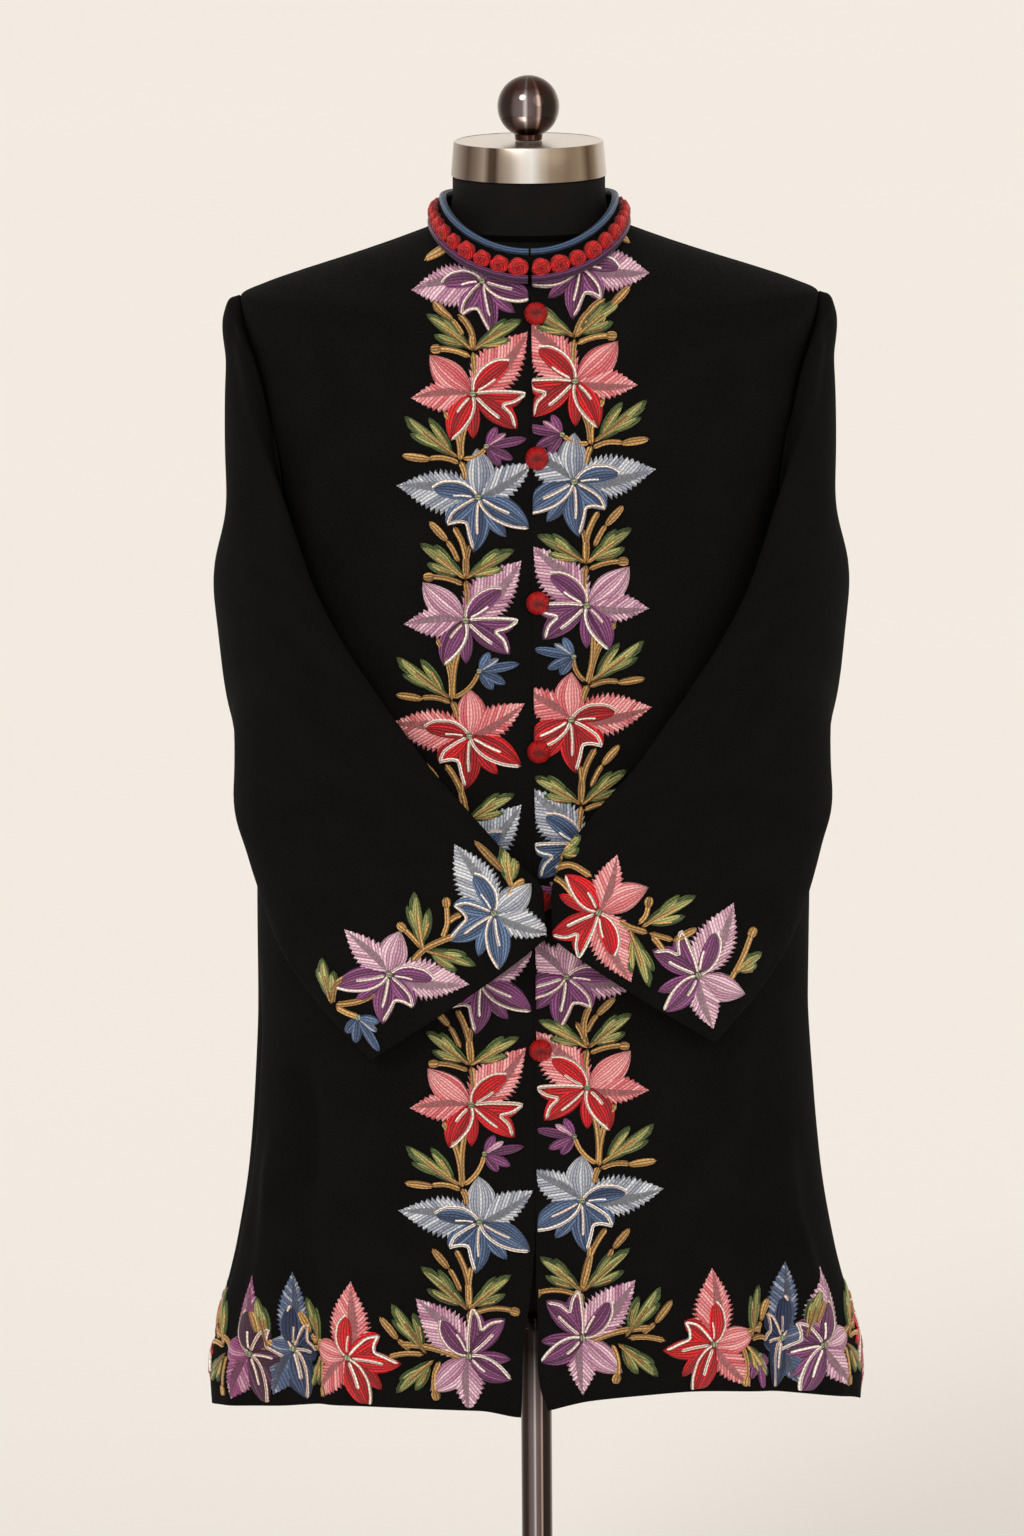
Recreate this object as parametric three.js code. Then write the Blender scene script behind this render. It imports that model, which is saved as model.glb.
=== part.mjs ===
// Embroidered jacket with a low stand collar, worn by a limbless dress form on a telescoping pole.
//
// Millimetres. +Z is up, the jacket's front faces -Y, and +X is the wearer's left.
// The origin is the centre of the base plate's underside.
//
// The jacket's shape is one stack of horizontal sections (BODY). A place on it is given by its
// turn (degrees round the body: 0 centre front, 90 left side, 180 centre back), its height, and
// its lift off the inside of the cloth. Panels, sleeves, collar and trims are all laid on that.
import * as THREE from 'three';
import { mergeVertices } from 'three/addons/utils/BufferGeometryUtils.js';

// ---------------------------------------------------------------- driving dimensions

const CLOTH = 1.5;
const SEAM_GAP = 0.3;
const ON_CLOTH = CLOTH + SEAM_GAP;
const SLEEVE_SEAM_LIFT = 2.05;
const SLEEVE_CLEARANCE = 2.4;

const UNDERARM_HEIGHT = 885;
const SHOULDER_TIP_HEIGHT = 1096;

const NECK_HALF_WIDTH = 61;
const NECK_SIDE_HEIGHT = 1145;
const NECK_FRONT_DROP = 28;
const NECK_BACK_DROP = 3;
const NECK_HALF_DEPTH = 72;

const COLLAR_WALL = 2;
const COLLAR_HEIGHT = 15.5;
const COLLAR_LEAN = 3.5;
// How far the collar, its cords and its balls stop short of the centre front, as turns about the neck.
const COLLAR_GAP_TURN = 0.14;
const TOP_CORD_GAP_TURN = 0.74;
const BASE_CORD_GAP_TURN = 1.14;
const BALLS_GAP_TURN = 3.14;
const TOP_CORD_RADIUS = 2.5;
const BASE_CORD_RADIUS = 3;
const BALL_RADIUS = 5.1;
const BALL_RELIEF = 3.2;
const BALL_COUNT = 36;
const BALL_ROW_UP = 0.63;

const BUTTON_RADIUS = 8;
const BUTTON_HEIGHT = 6;
const BUTTON_FROM_EDGE = 4;
const BUTTON_HEIGHTS = [1095, 1000, 902, 799, 694, 588];

const FORM_BOTTOM = 520;
const FORM_EASE = 7;
const FORM_SHOULDER_DROP = 0.8;
const FORM_SHOULDER_FOOT = 1085;
const FORM_NECK_RADIUS = 52.5;
const FORM_NECK_TOP = 1178.7;
const FORM_SHOULDER_POWER = 1.6;
const FORM_POWER_EASE = 0.2;

const CAP_BOTTOM_RADIUS = 53.5;
const CAP_TOP_RADIUS = 51.5;
const CAP_HEIGHT = 24;
const CAP_CHAMFER = 1.5;
const FINIAL_RADIUS = 21.4;
const FINIAL_STEM = 1.6;
const FINIAL_STEM_RADIUS = 9;

const TUBE_RADIUS = 11;
const TUBE_BORE = 9.6;
const TUBE_TOP = 358;
const TUBE_CHAMFER = 0.5;
const TUBE_COLLAR_RADIUS = 14;
const TUBE_COLLAR_HEIGHT = 9;
const TUBE_COLLAR_CHAMFER = 1;
const ROD_RADIUS = 8.9;
const ROD_BOTTOM = 112;
const ROD_FLANGE_RADIUS = 32;
const ROD_FLANGE_HEIGHT = 6;
const BASE_RADIUS = 165;
const BASE_EDGE = 6;
const BASE_HEIGHT = 12;
const BASE_BEVEL = 4;
const BASE_HUB_FOOT_RADIUS = 40;
const BASE_HUB_RADIUS = 24;

// Inside of the cloth, from the hem up to the shoulders and the neck.
const BODY = [
  { z: 296, halfWidth: 228, front: 108, back: 114, power: 2.25 },
  { z: 330, halfWidth: 230, front: 109, back: 114, power: 2.25 },
  { z: 350, halfWidth: 228, front: 109, back: 113, power: 2.25 },
  { z: 380, halfWidth: 221, front: 110, back: 111, power: 2.25 },
  { z: 420, halfWidth: 211, front: 111, back: 107, power: 2.3 },
  { z: 480, halfWidth: 201, front: 112, back: 102, power: 2.3 },
  { z: 540, halfWidth: 196, front: 113, back: 99, power: 2.3 },
  { z: 600, halfWidth: 193, front: 114, back: 97, power: 2.3 },
  { z: 700, halfWidth: 192, front: 117, back: 99, power: 2.3 },
  { z: 800, halfWidth: 188, front: 120, back: 103, power: 2.3 },
  { z: 885, halfWidth: 184, front: 121, back: 106, power: 2.3 },
  { z: 960, halfWidth: 184, front: 118, back: 106, power: 2.2 },
  { z: 1020, halfWidth: 188, front: 112, back: 102, power: 2.1 },
  { z: 1060, halfWidth: 193, front: 105, back: 97, power: 2 },
  { z: 1085, halfWidth: 197, front: 97, back: 91, power: 2 },
  { z: 1096, halfWidth: 198, front: 93, back: 87, power: 2 },
  { z: 1103, halfWidth: 184, front: 90, back: 84, power: 2 },
  { z: 1111, halfWidth: 161, front: 85, back: 80, power: 2 },
  { z: 1122, halfWidth: 126, front: 78, back: 73, power: 2 },
  { z: 1133, halfWidth: 93, front: 71, back: 67, power: 2 },
  { z: 1145, halfWidth: 61, front: 62, back: 60, power: 2 },
  { z: 1154, halfWidth: 42, front: 54, back: 54, power: 2 },
];

// Soft flutes of the skirt below the waist, deepest at the hem.
const FLUTES = [
  { turn: -128, width: 15, depth: 5 },
  { turn: -72, width: 11, depth: 4 },
  { turn: -38, width: 12, depth: 2.5 },
  { turn: 33, width: 12, depth: 2.5 },
  { turn: 70, width: 11, depth: 4.5 },
  { turn: 122, width: 14, depth: 5 },
  { turn: 166, width: 13, depth: 4 },
  { turn: -164, width: 12, depth: 3.5 },
];
const FLUTE_TOP = 560;
const FLUTE_HEM = 310;

// Height of the hem round the body.
const HEM = [
  { turn: -180, z: 308 },
  { turn: -130, z: 306 },
  { turn: -90, z: 305 },
  { turn: -70, z: 313 },
  { turn: -50, z: 322 },
  { turn: -30, z: 329 },
  { turn: -10, z: 328 },
  { turn: -2, z: 323 },
  { turn: 2, z: 328 },
  { turn: 10, z: 335 },
  { turn: 25, z: 339 },
  { turn: 41, z: 334 },
  { turn: 66, z: 318 },
  { turn: 90, z: 305 },
  { turn: 130, z: 306 },
  { turn: 180, z: 308 },
];

// The armhole's edge, by its turn about its own centre (-90 underarm, 90 shoulder tip): how far
// it stands before and behind the side.
const ARMHOLE = [
  { angle: -90, fore: 0, aft: 0 },
  { angle: -65, fore: 24, aft: 25 },
  { angle: -40, fore: 43, aft: 46 },
  { angle: -15, fore: 52, aft: 57 },
  { angle: 5, fore: 46, aft: 58 },
  { angle: 25, fore: 28, aft: 50 },
  { angle: 45, fore: 16, aft: 35 },
  { angle: 68, fore: 7, aft: 16 },
  { angle: 90, fore: 0, aft: 0 },
];

// How far each front edge stands off the centre line: closed above, parted at the hem.
const FRONT_EDGE = [
  { z: 300, right: 13, left: 13 },
  { z: 330, right: 11, left: 7.5 },
  { z: 345, right: 10.5, left: 3 },
  { z: 365, right: 10, left: 1 },
  { z: 385, right: 8, left: 1.5 },
  { z: 430, right: 2.5, left: 0.5 },
  { z: 480, right: 0.15, left: 0.15 },
  { z: 1120, right: 0.15, left: 0.15 },
];

// Neck and armhole edges of a front panel, from the underarm up. The inner end runs up the centre
// front and then round the neck, as a turn about the neck (0 front, 90 side); the outer end runs
// up the armhole, as a turn about its centre (-90 underarm, 0 front, 90 shoulder tip).
const FRONT_ROWS = [
  { centreHeight: 885, neckTurn: 0, armholeTurn: -90 },
  { centreHeight: 930, neckTurn: 0, armholeTurn: -62 },
  { centreHeight: 980, neckTurn: 0, armholeTurn: -38 },
  { centreHeight: 1028, neckTurn: 0, armholeTurn: -15 },
  { centreHeight: 1072, neckTurn: 0, armholeTurn: 8 },
  { centreHeight: 1117, neckTurn: 0, armholeTurn: 30 },
  { centreHeight: 1117, neckTurn: 20, armholeTurn: 44 },
  { centreHeight: 1117, neckTurn: 42, armholeTurn: 58 },
  { centreHeight: 1117, neckTurn: 65, armholeTurn: 73 },
  { centreHeight: 1117, neckTurn: 90, armholeTurn: 90 },
];

// Sleeve sections between the armhole and the cuff, on the wearer's left. fore and aft are the
// two folds of the flattened tube, outer and inner the middles of its two faces. Turns are round
// the body, lifts are off the inside of the body cloth: the outer face swells over the elbow, and
// past it the forearm lies across the front.
const UPPER_SLEEVE = [
  { foreTurn: 66, foreZ: 986, foreLift: 5, aftTurn: 118, aftZ: 990, aftLift: 6,
    outerZ: 1092, outerLift: 9, innerZ: 883, innerLift: 5 },
  { foreTurn: 64, foreZ: 976, foreLift: 8, aftTurn: 119, aftZ: 980, aftLift: 10,
    outerZ: 1082, outerLift: 12.5, innerZ: 874, innerLift: 6 },
  { foreTurn: 60, foreZ: 956, foreLift: 11, aftTurn: 119, aftZ: 962, aftLift: 14,
    outerZ: 1056, outerLift: 18, innerZ: 858, innerLift: 6 },
  { foreTurn: 52, foreZ: 930, foreLift: 13, aftTurn: 116, aftZ: 936, aftLift: 17,
    outerZ: 1012, outerLift: 23, innerZ: 838, innerLift: 5.5 },
  { foreTurn: 44.5, foreZ: 897, foreLift: 14, aftTurn: 112, aftZ: 900, aftLift: 20,
    outerZ: 950, outerLift: 29, innerZ: 815, innerLift: 5.5 },
  { foreTurn: 36, foreZ: 860, foreLift: 15, aftTurn: 107, aftZ: 860, aftLift: 23,
    outerZ: 890, outerLift: 34, innerZ: 790, innerLift: 5.5 },
  { foreTurn: 27.5, foreZ: 824, foreLift: 15, aftTurn: 98, aftZ: 812, aftLift: 17,
    outerZ: 830, outerLift: 30, innerZ: 764, innerLift: 5.5 },
  { foreTurn: 20, foreZ: 789, foreLift: 15, aftTurn: 84, aftZ: 756, aftLift: 10,
    outerZ: 773, outerLift: 25, innerZ: 740, innerLift: 5.5 },
];
const FOREARM = {
  left: [
    { foreTurn: 12, foreZ: 757, foreLift: 14, aftTurn: 68, aftZ: 697, aftLift: 9,
      outerZ: 729, outerLift: 24, innerZ: 720, innerLift: 5.5 },
    { foreTurn: 6, foreZ: 727, foreLift: 13.5, aftTurn: 53, aftZ: 647, aftLift: 12,
      outerZ: 688, outerLift: 26, innerZ: 686, innerLift: 5.5 },
    { foreTurn: 3.7, foreZ: 700, foreLift: 13, aftTurn: 43, aftZ: 616, aftLift: 12,
      outerZ: 656, outerLift: 24.5, innerZ: 656, innerLift: 5.5 },
    { foreTurn: 3.9, foreZ: 671, foreLift: 13, aftTurn: 35, aftZ: 592, aftLift: 12,
      outerZ: 628, outerLift: 23.5, innerZ: 632, innerLift: 5.5 },
  ],
  right: [
    { foreTurn: 13, foreZ: 760, foreLift: 14, aftTurn: 65, aftZ: 691, aftLift: 9,
      outerZ: 728, outerLift: 24, innerZ: 720, innerLift: 5.5 },
    { foreTurn: 6, foreZ: 731, foreLift: 13.5, aftTurn: 52, aftZ: 645, aftLift: 12,
      outerZ: 688, outerLift: 26, innerZ: 686, innerLift: 5.5 },
    { foreTurn: -1.4, foreZ: 702, foreLift: 13, aftTurn: 40, aftZ: 607, aftLift: 12,
      outerZ: 654, outerLift: 24.5, innerZ: 654, innerLift: 5.5 },
    { foreTurn: -1.9, foreZ: 671, foreLift: 13, aftTurn: 31.5, aftZ: 582, aftLift: 12,
      outerZ: 624, outerLift: 23.5, innerZ: 628, innerLift: 5.5 },
  ],
};

// Heights of the form's sections, closer together over the shoulders, and the flare of its neck.
const FORM_HEIGHTS = [
  FORM_BOTTOM, 528, 580, 640, 700, 760, 820, 880, 940, 1000, 1040, 1070, 1086, 1094,
  1100, 1107, 1115, 1124, 1132, 1139,
];
const FORM_NECK = [
  { z: 1144, flare: 4.5 },
  { z: 1156, flare: 1.5 },
  { z: 1166, flare: 0 },
  { z: FORM_NECK_TOP, flare: 0 },
];

// A button's section, as shares of its radius and height.
const BUTTON_PROFILE = [
  { out: 0, up: 0 },
  { out: 0.94, up: 0 },
  { out: 1, up: 0.22 },
  { out: 0.86, up: 0.62 },
  { out: 0.5, up: 0.92 },
  { out: 0, up: 1 },
];

// Radius of the balls' thread through one ball and the gap after it, as shares of a ball's radius.
const BALL_SWELL = [0.3, 0.83, 1, 0.83];

// How strongly a sleeve's rings crowd towards its armhole, and the side seam's share of a panel.
const SLEEVE_CROWDING = 1.15;
const SIDE_SEAM_SHARE = 0.58;

const COUNTS = {
  frontColumns: 12, frontRows: 24, backColumns: 24, backRows: 24,
  sleeveAround: 22, sleeveAlong: 22, collarAround: 44, cordSides: 8, cordSteps: 44, ballSides: 7,
  ballPlaces: 720, buttonSides: 12, formAround: 32, capSides: 32, roundSides: 20, baseSides: 40,
};

const COLOURS = {
  cloth: 0x14110f, blue: 0x4a6388, purple: 0x6f3a76, red: 0xa81c2c, jersey: 0x1a1817,
  steel: 0xb9b6b2, chrome: 0xd8d8da, paint: 0x2b2625,
};

// ---------------------------------------------------------------- the body's surface

const radians = THREE.MathUtils.degToRad;
const degrees = THREE.MathUtils.radToDeg;
const mix = THREE.MathUtils.lerp;

/** Value of a table's column at a place between its rows, on a curve that never overshoots them. */
function along(rows, by, column, place) {
  const last = rows.length - 1;
  if (place <= rows[0][by]) return rows[0][column];
  if (place >= rows[last][by]) return rows[last][column];
  let i = 0;
  while (rows[i + 1][by] < place) i += 1;
  const slope = (k) => (rows[k + 1][column] - rows[k][column]) / (rows[k + 1][by] - rows[k][by]);
  const tangent = (k) => {
    if (k === 0 || k === last) return slope(Math.min(k, last - 1));
    const before = slope(k - 1);
    const after = slope(k);
    return before * after <= 0 ? 0 : (2 * before * after) / (before + after);
  };
  const step = rows[i + 1][by] - rows[i][by];
  const u = (place - rows[i][by]) / step;
  const u2 = u * u;
  const u3 = u2 * u;
  return (2 * u3 - 3 * u2 + 1) * rows[i][column] + (u3 - 2 * u2 + u) * step * tangent(i)
    + (3 * u2 - 2 * u3) * rows[i + 1][column] + (u3 - u2) * step * tangent(i + 1);
}

/** The section at a height: half width, depth to the front or back, and power. */
function section(z, facesFront) {
  return {
    halfWidth: along(BODY, 'z', 'halfWidth', z),
    depth: along(BODY, 'z', facesFront ? 'front' : 'back', z),
    power: along(BODY, 'z', 'power', z),
  };
}

/** Outward swell of the skirt's flutes. */
function flute(turn, z) {
  const fall = THREE.MathUtils.clamp((FLUTE_TOP - z) / (FLUTE_TOP - FLUTE_HEM), 0, 1);
  let swell = 0;
  for (const fold of FLUTES) {
    const apart = ((turn - fold.turn + 540) % 360) - 180;
    const away = apart / fold.width;
    swell += fold.depth * Math.exp(-away * away);
  }
  return swell * fall * fall;
}

/** Point at a turn on a superellipse of half width a and half depth b, with a swell added. */
function superellipse(turn, a, b, power, swell, z) {
  const t = radians(turn);
  const ray = Math.atan2(a * Math.sin(t), b * Math.cos(t));
  const across = Math.abs(Math.sin(ray) / a) ** power;
  const deep = Math.abs(Math.cos(ray) / b) ** power;
  const reach = (across + deep) ** (-1 / power) + swell;
  return new THREE.Vector3(reach * Math.sin(ray), -reach * Math.cos(ray), z);
}

/** Place in plan, grown sideways by spread. */
function planPoint(turn, z, spread) {
  const { halfWidth, depth, power } = section(z, Math.abs(turn) <= 90);
  return superellipse(turn, halfWidth + spread, depth + spread, power, flute(turn, z), z);
}

/** Place on the body: the plan point, lifted along the surface's own normal. */
function bodyPoint(turn, z, lift) {
  const place = planPoint(turn, z, 0);
  if (lift === 0) return place;
  const dTurn = planPoint(turn + 0.2, z, 0).sub(planPoint(turn - 0.2, z, 0));
  const dHeight = planPoint(turn, z + 0.5, 0).sub(planPoint(turn, z - 0.5, 0));
  return place.addScaledVector(dTurn.cross(dHeight).normalize(), lift);
}

/** Turn at which the body stands x from the centre line, between centre front (0) or back (180). */
function turnAtX(x, z, facesFront) {
  const centre = facesFront ? 0 : 180;
  let low = 0;
  let high = 90;
  for (let i = 0; i < 40; i += 1) {
    const middle = (low + high) / 2;
    if (planPoint(Math.abs(centre - middle), z, 0).x < x) low = middle;
    else high = middle;
  }
  return Math.abs(centre - low);
}

/** Turn of the armhole's edge, y in front of (or behind) the side at a height. */
function turnAtY(y, z, facesFront) {
  const { depth } = section(z, facesFront);
  const fromSide = degrees(Math.asin(Math.min(1, Math.abs(y) / depth)));
  return facesFront ? 90 - fromSide : 90 + fromSide;
}

/** Turn of a place that stands half a seam's gap from the side, towards the front or the back. */
function besideSeam(z, facesFront) {
  return turnAtY(SEAM_GAP / 2, z, facesFront);
}

/** The armhole's edge, on the left: 0 front, 90 shoulder tip, 180 back, 270 underarm. */
function armhole(angle) {
  const middle = (SHOULDER_TIP_HEIGHT + UNDERARM_HEIGHT) / 2;
  const reach = (SHOULDER_TIP_HEIGHT - UNDERARM_HEIGHT) / 2;
  const z = middle + reach * Math.sin(radians(angle));
  const isFore = Math.cos(radians(angle)) >= 0;
  const rise = degrees(Math.asin(Math.sin(radians(angle))));
  const y = Math.max(along(ARMHOLE, 'angle', isFore ? 'fore' : 'aft', rise), SEAM_GAP / 2);
  return { turn: turnAtY(y, z, isFore), z };
}

/** The neck's edge, on the left: 0 centre front, 90 side, 180 centre back. */
function neck(angle, fromCentre = 0) {
  const c = Math.cos(radians(angle));
  const z = NECK_SIDE_HEIGHT - (c > 0 ? NECK_FRONT_DROP * c ** 1.55 : NECK_BACK_DROP * c * c);
  const x = Math.max(NECK_HALF_WIDTH * Math.sin(radians(angle)), fromCentre);
  const facesFront = angle <= 90;
  const seam = besideSeam(z, facesFront);
  const turn = turnAtX(x, z, facesFront);
  return { turn: facesFront ? Math.min(turn, seam) : Math.max(turn, seam), z };
}

/** Height of the hem at a turn. */
function hem(turn) {
  return along(HEM, 'turn', 'z', turn);
}

// ---------------------------------------------------------------- solids from grids of points

/** Closed solid from faces on a list of points, turned so that its faces point out. */
function solid(points, triangles) {
  let volume = 0;
  const cross = new THREE.Vector3();
  for (const [i, j, k] of triangles) volume += points[i].dot(cross.crossVectors(points[j], points[k]));
  const index = volume < 0 ? triangles.flatMap(([i, j, k]) => [i, k, j]) : triangles.flat();
  const geometry = new THREE.BufferGeometry();
  const flat = points.flatMap((p) => p.toArray());
  geometry.setAttribute('position', new THREE.Float32BufferAttribute(flat, 3));
  geometry.setIndex(index);
  return geometry;
}

/** A wall between two grids of the same size. A ring wall is joined round its columns. */
function wall(inner, outer, isRing) {
  const rows = inner.length;
  const columns = inner[0].length;
  const points = [...inner.flat(), ...outer.flat()];
  const at = (layer, i, j) => layer * rows * columns + i * columns + (j % columns);
  const triangles = [];
  const quad = (a, b, c, d) => triangles.push([a, b, c], [a, c, d]);
  const spans = isRing ? columns : columns - 1;
  for (let i = 0; i < rows - 1; i += 1) {
    for (let j = 0; j < spans; j += 1) {
      quad(at(0, i, j), at(0, i + 1, j), at(0, i + 1, j + 1), at(0, i, j + 1));
      quad(at(1, i, j), at(1, i, j + 1), at(1, i + 1, j + 1), at(1, i + 1, j));
    }
  }
  for (let j = 0; j < spans; j += 1) {
    quad(at(0, 0, j), at(0, 0, j + 1), at(1, 0, j + 1), at(1, 0, j));
    quad(at(0, rows - 1, j + 1), at(0, rows - 1, j), at(1, rows - 1, j), at(1, rows - 1, j + 1));
  }
  if (!isRing) {
    const last = columns - 1;
    for (let i = 0; i < rows - 1; i += 1) {
      quad(at(0, i + 1, 0), at(0, i, 0), at(1, i, 0), at(1, i + 1, 0));
      quad(at(0, i, last), at(0, i + 1, last), at(1, i + 1, last), at(1, i, last));
    }
  }
  return solid(points, triangles);
}

/** A solid skinned over rings, with a flat fan over each end. */
function skinned(rings) {
  const sides = rings[0].length;
  const points = rings.flat();
  const middle = (ring) => ring.reduce((sum, p) => sum.add(p), new THREE.Vector3()).divideScalar(sides);
  const first = points.push(middle(rings[0])) - 1;
  const last = points.push(middle(rings[rings.length - 1])) - 1;
  const top = (rings.length - 1) * sides;
  const triangles = [];
  for (let j = 0; j < sides; j += 1) {
    const next = (j + 1) % sides;
    for (let i = 0; i < rings.length - 1; i += 1) {
      const low = i * sides;
      const high = low + sides;
      triangles.push([low + j, low + next, high + next], [low + j, high + next, high + j]);
    }
    triangles.push([first, next, j], [last, top + j, top + next]);
  }
  return solid(points, triangles);
}

/** A cord along a path, its radius given at each of its points and drawn in sideways by flatness. */
function cord(path, radiusAt, sides, flatness = 1) {
  const rings = path.map((place, i) => {
    const next = path[Math.min(i + 1, path.length - 1)];
    const ahead = next.clone().sub(path[Math.max(i - 1, 0)]).normalize();
    const side = new THREE.Vector3(0, 0, 1).cross(ahead).normalize();
    const up = ahead.clone().cross(side);
    return Array.from({ length: sides }, (_, j) => {
      const a = (2 * Math.PI * (j + 0.5)) / sides;
      return place.clone()
        .addScaledVector(side, flatness * radiusAt(i) * Math.cos(a))
        .addScaledVector(up, radiusAt(i) * Math.sin(a));
    });
  });
  return skinned(rings);
}

/** Grid of panel points: across and up run 0 to 1, and give the turn and height of a point. */
function panel(rows, columns, place) {
  const grid = (lift) => Array.from({ length: rows + 1 }, (_, i) => (
    Array.from({ length: columns + 1 }, (__, j) => {
      const { turn, z } = place(j / columns, i / rows);
      return bodyPoint(turn, z, lift);
    })));
  return wall(grid(0), grid(CLOTH), false);
}

// ---------------------------------------------------------------- jacket panels

/** One front, on the left (side 1) or the right (side -1). */
function frontPanel(sideName, side) {
  const last = FRONT_ROWS.length - 1;
  const rows = FRONT_ROWS.map((row, k) => ({ ...row, k }));
  const hemFront = hem(2 * side);
  const hemSide = hem(90 * side);
  return panel(COUNTS.frontRows, COUNTS.frontColumns, (across, up) => {
    let inner;
    let outer;
    if (up < SIDE_SEAM_SHARE) {
      const rise = up / SIDE_SEAM_SHARE;
      const innerZ = mix(hemFront, UNDERARM_HEIGHT, rise);
      const outerZ = mix(hemSide, UNDERARM_HEIGHT, rise);
      inner = { turn: turnAtX(along(FRONT_EDGE, 'z', sideName, innerZ), innerZ, true), z: innerZ };
      outer = { turn: besideSeam(outerZ, true), z: outerZ };
    } else {
      const k = last * ((up - SIDE_SEAM_SHARE) / (1 - SIDE_SEAM_SHARE));
      const centreHeight = along(rows, 'k', 'centreHeight', k);
      const neckTurn = along(rows, 'k', 'neckTurn', k);
      inner = neckTurn > 0
        ? neck(neckTurn, SEAM_GAP / 2)
        : { turn: turnAtX(SEAM_GAP / 2, centreHeight, true), z: centreHeight };
      outer = armhole(along(rows, 'k', 'armholeTurn', k));
    }
    const turn = mix(inner.turn, outer.turn, across);
    const nearHem = Math.max(0, 1 - up / SIDE_SEAM_SHARE) ** 2;
    const sag = hem(side * turn) - mix(hemFront, hemSide, across);
    return { turn: side * turn, z: mix(inner.z, outer.z, across) + sag * nearHem };
  });
}

/** The back, blended between its hem, its side and armhole edges, and the shoulders and neck. */
function backPanel() {
  const neckShare = NECK_HALF_WIDTH / section(SHOULDER_TIP_HEIGHT, false).halfWidth;
  const top = (share) => {
    if (share < neckShare) return neck(180 - (90 * share) / neckShare);
    const z = mix(NECK_SIDE_HEIGHT, SHOULDER_TIP_HEIGHT, (share - neckShare) / (1 - neckShare));
    return { turn: besideSeam(z, false), z };
  };
  const edge = (up) => {
    const aboveSeam = (up - SIDE_SEAM_SHARE) / (1 - SIDE_SEAM_SHARE);
    if (aboveSeam >= 0) return armhole(270 - 180 * aboveSeam);
    const z = mix(hem(90), UNDERARM_HEIGHT, up / SIDE_SEAM_SHARE);
    return { turn: besideSeam(z, false), z };
  };
  return panel(COUNTS.backRows, COUNTS.backColumns, (across, up) => {
    const share = Math.abs(2 * across - 1);
    const outer = edge(up);
    const over = top(share);
    const tip = top(1);
    const centre = top(0);
    const blend = (key, hemValue, hemCentre, hemSide, centreLine) => {
      const straight = mix(centreLine, outer[key], share);
      const fromHem = hemValue - mix(hemCentre, hemSide, share);
      const fromTop = over[key] - mix(centre[key], tip[key], share);
      return straight + fromHem * (1 - up) ** 2 + fromTop * up ** 5;
    };
    const hemTurn = mix(180, 90, share);
    const turn = blend('turn', hemTurn, 180, 90, 180);
    const z = blend('z', hem(hemTurn), hem(180), hem(90), mix(hem(180), centre.z, up));
    return { turn: (across < 0.5 ? 1 : -1) * turn, z };
  });
}

// ---------------------------------------------------------------- sleeves

/** Place near the body, with the lift taken sideways. Above the armhole it runs straight up. */
function besideBody(turn, z, lift) {
  const place = planPoint(turn, Math.min(z, SHOULDER_TIP_HEIGHT), lift);
  place.z = z;
  return place;
}

/** Moves a point out sideways where it stands less than clearance off the inside of the body cloth. */
function clearOfBody(place, clearance) {
  if (place.z > SHOULDER_TIP_HEIGHT) return place;
  const turn = degrees(Math.atan2(
    place.x / section(place.z, true).halfWidth,
    -place.y / section(place.z, place.y < 0).depth,
  ));
  const least = planPoint(turn, place.z, clearance);
  const reach = Math.hypot(place.x, place.y);
  const need = Math.hypot(least.x, least.y);
  if (reach < need) {
    place.x *= need / reach;
    place.y *= need / reach;
  }
  return place;
}

/** Point of a sleeve section at an angle: 0 the fore fold, 90 the outer face, 180 the aft fold. */
function sectionPoint(row, angle) {
  const c = Math.cos(radians(angle));
  const s = Math.sin(radians(angle));
  const swing = Math.abs(s);
  const middleZ = (row.foreZ + row.aftZ) / 2;
  const faceZ = s > 0 ? row.outerZ : row.innerZ;
  const faceLift = s > 0 ? row.outerLift : row.innerLift;
  return {
    turn: mix(row.aftTurn, row.foreTurn, (1 + c) / 2),
    z: mix(row.aftZ, row.foreZ, (1 + c) / 2) + (faceZ - middleZ) * swing,
    lift: mix(mix(row.aftLift, row.foreLift, (1 + c) / 2), faceLift, swing),
  };
}

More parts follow.
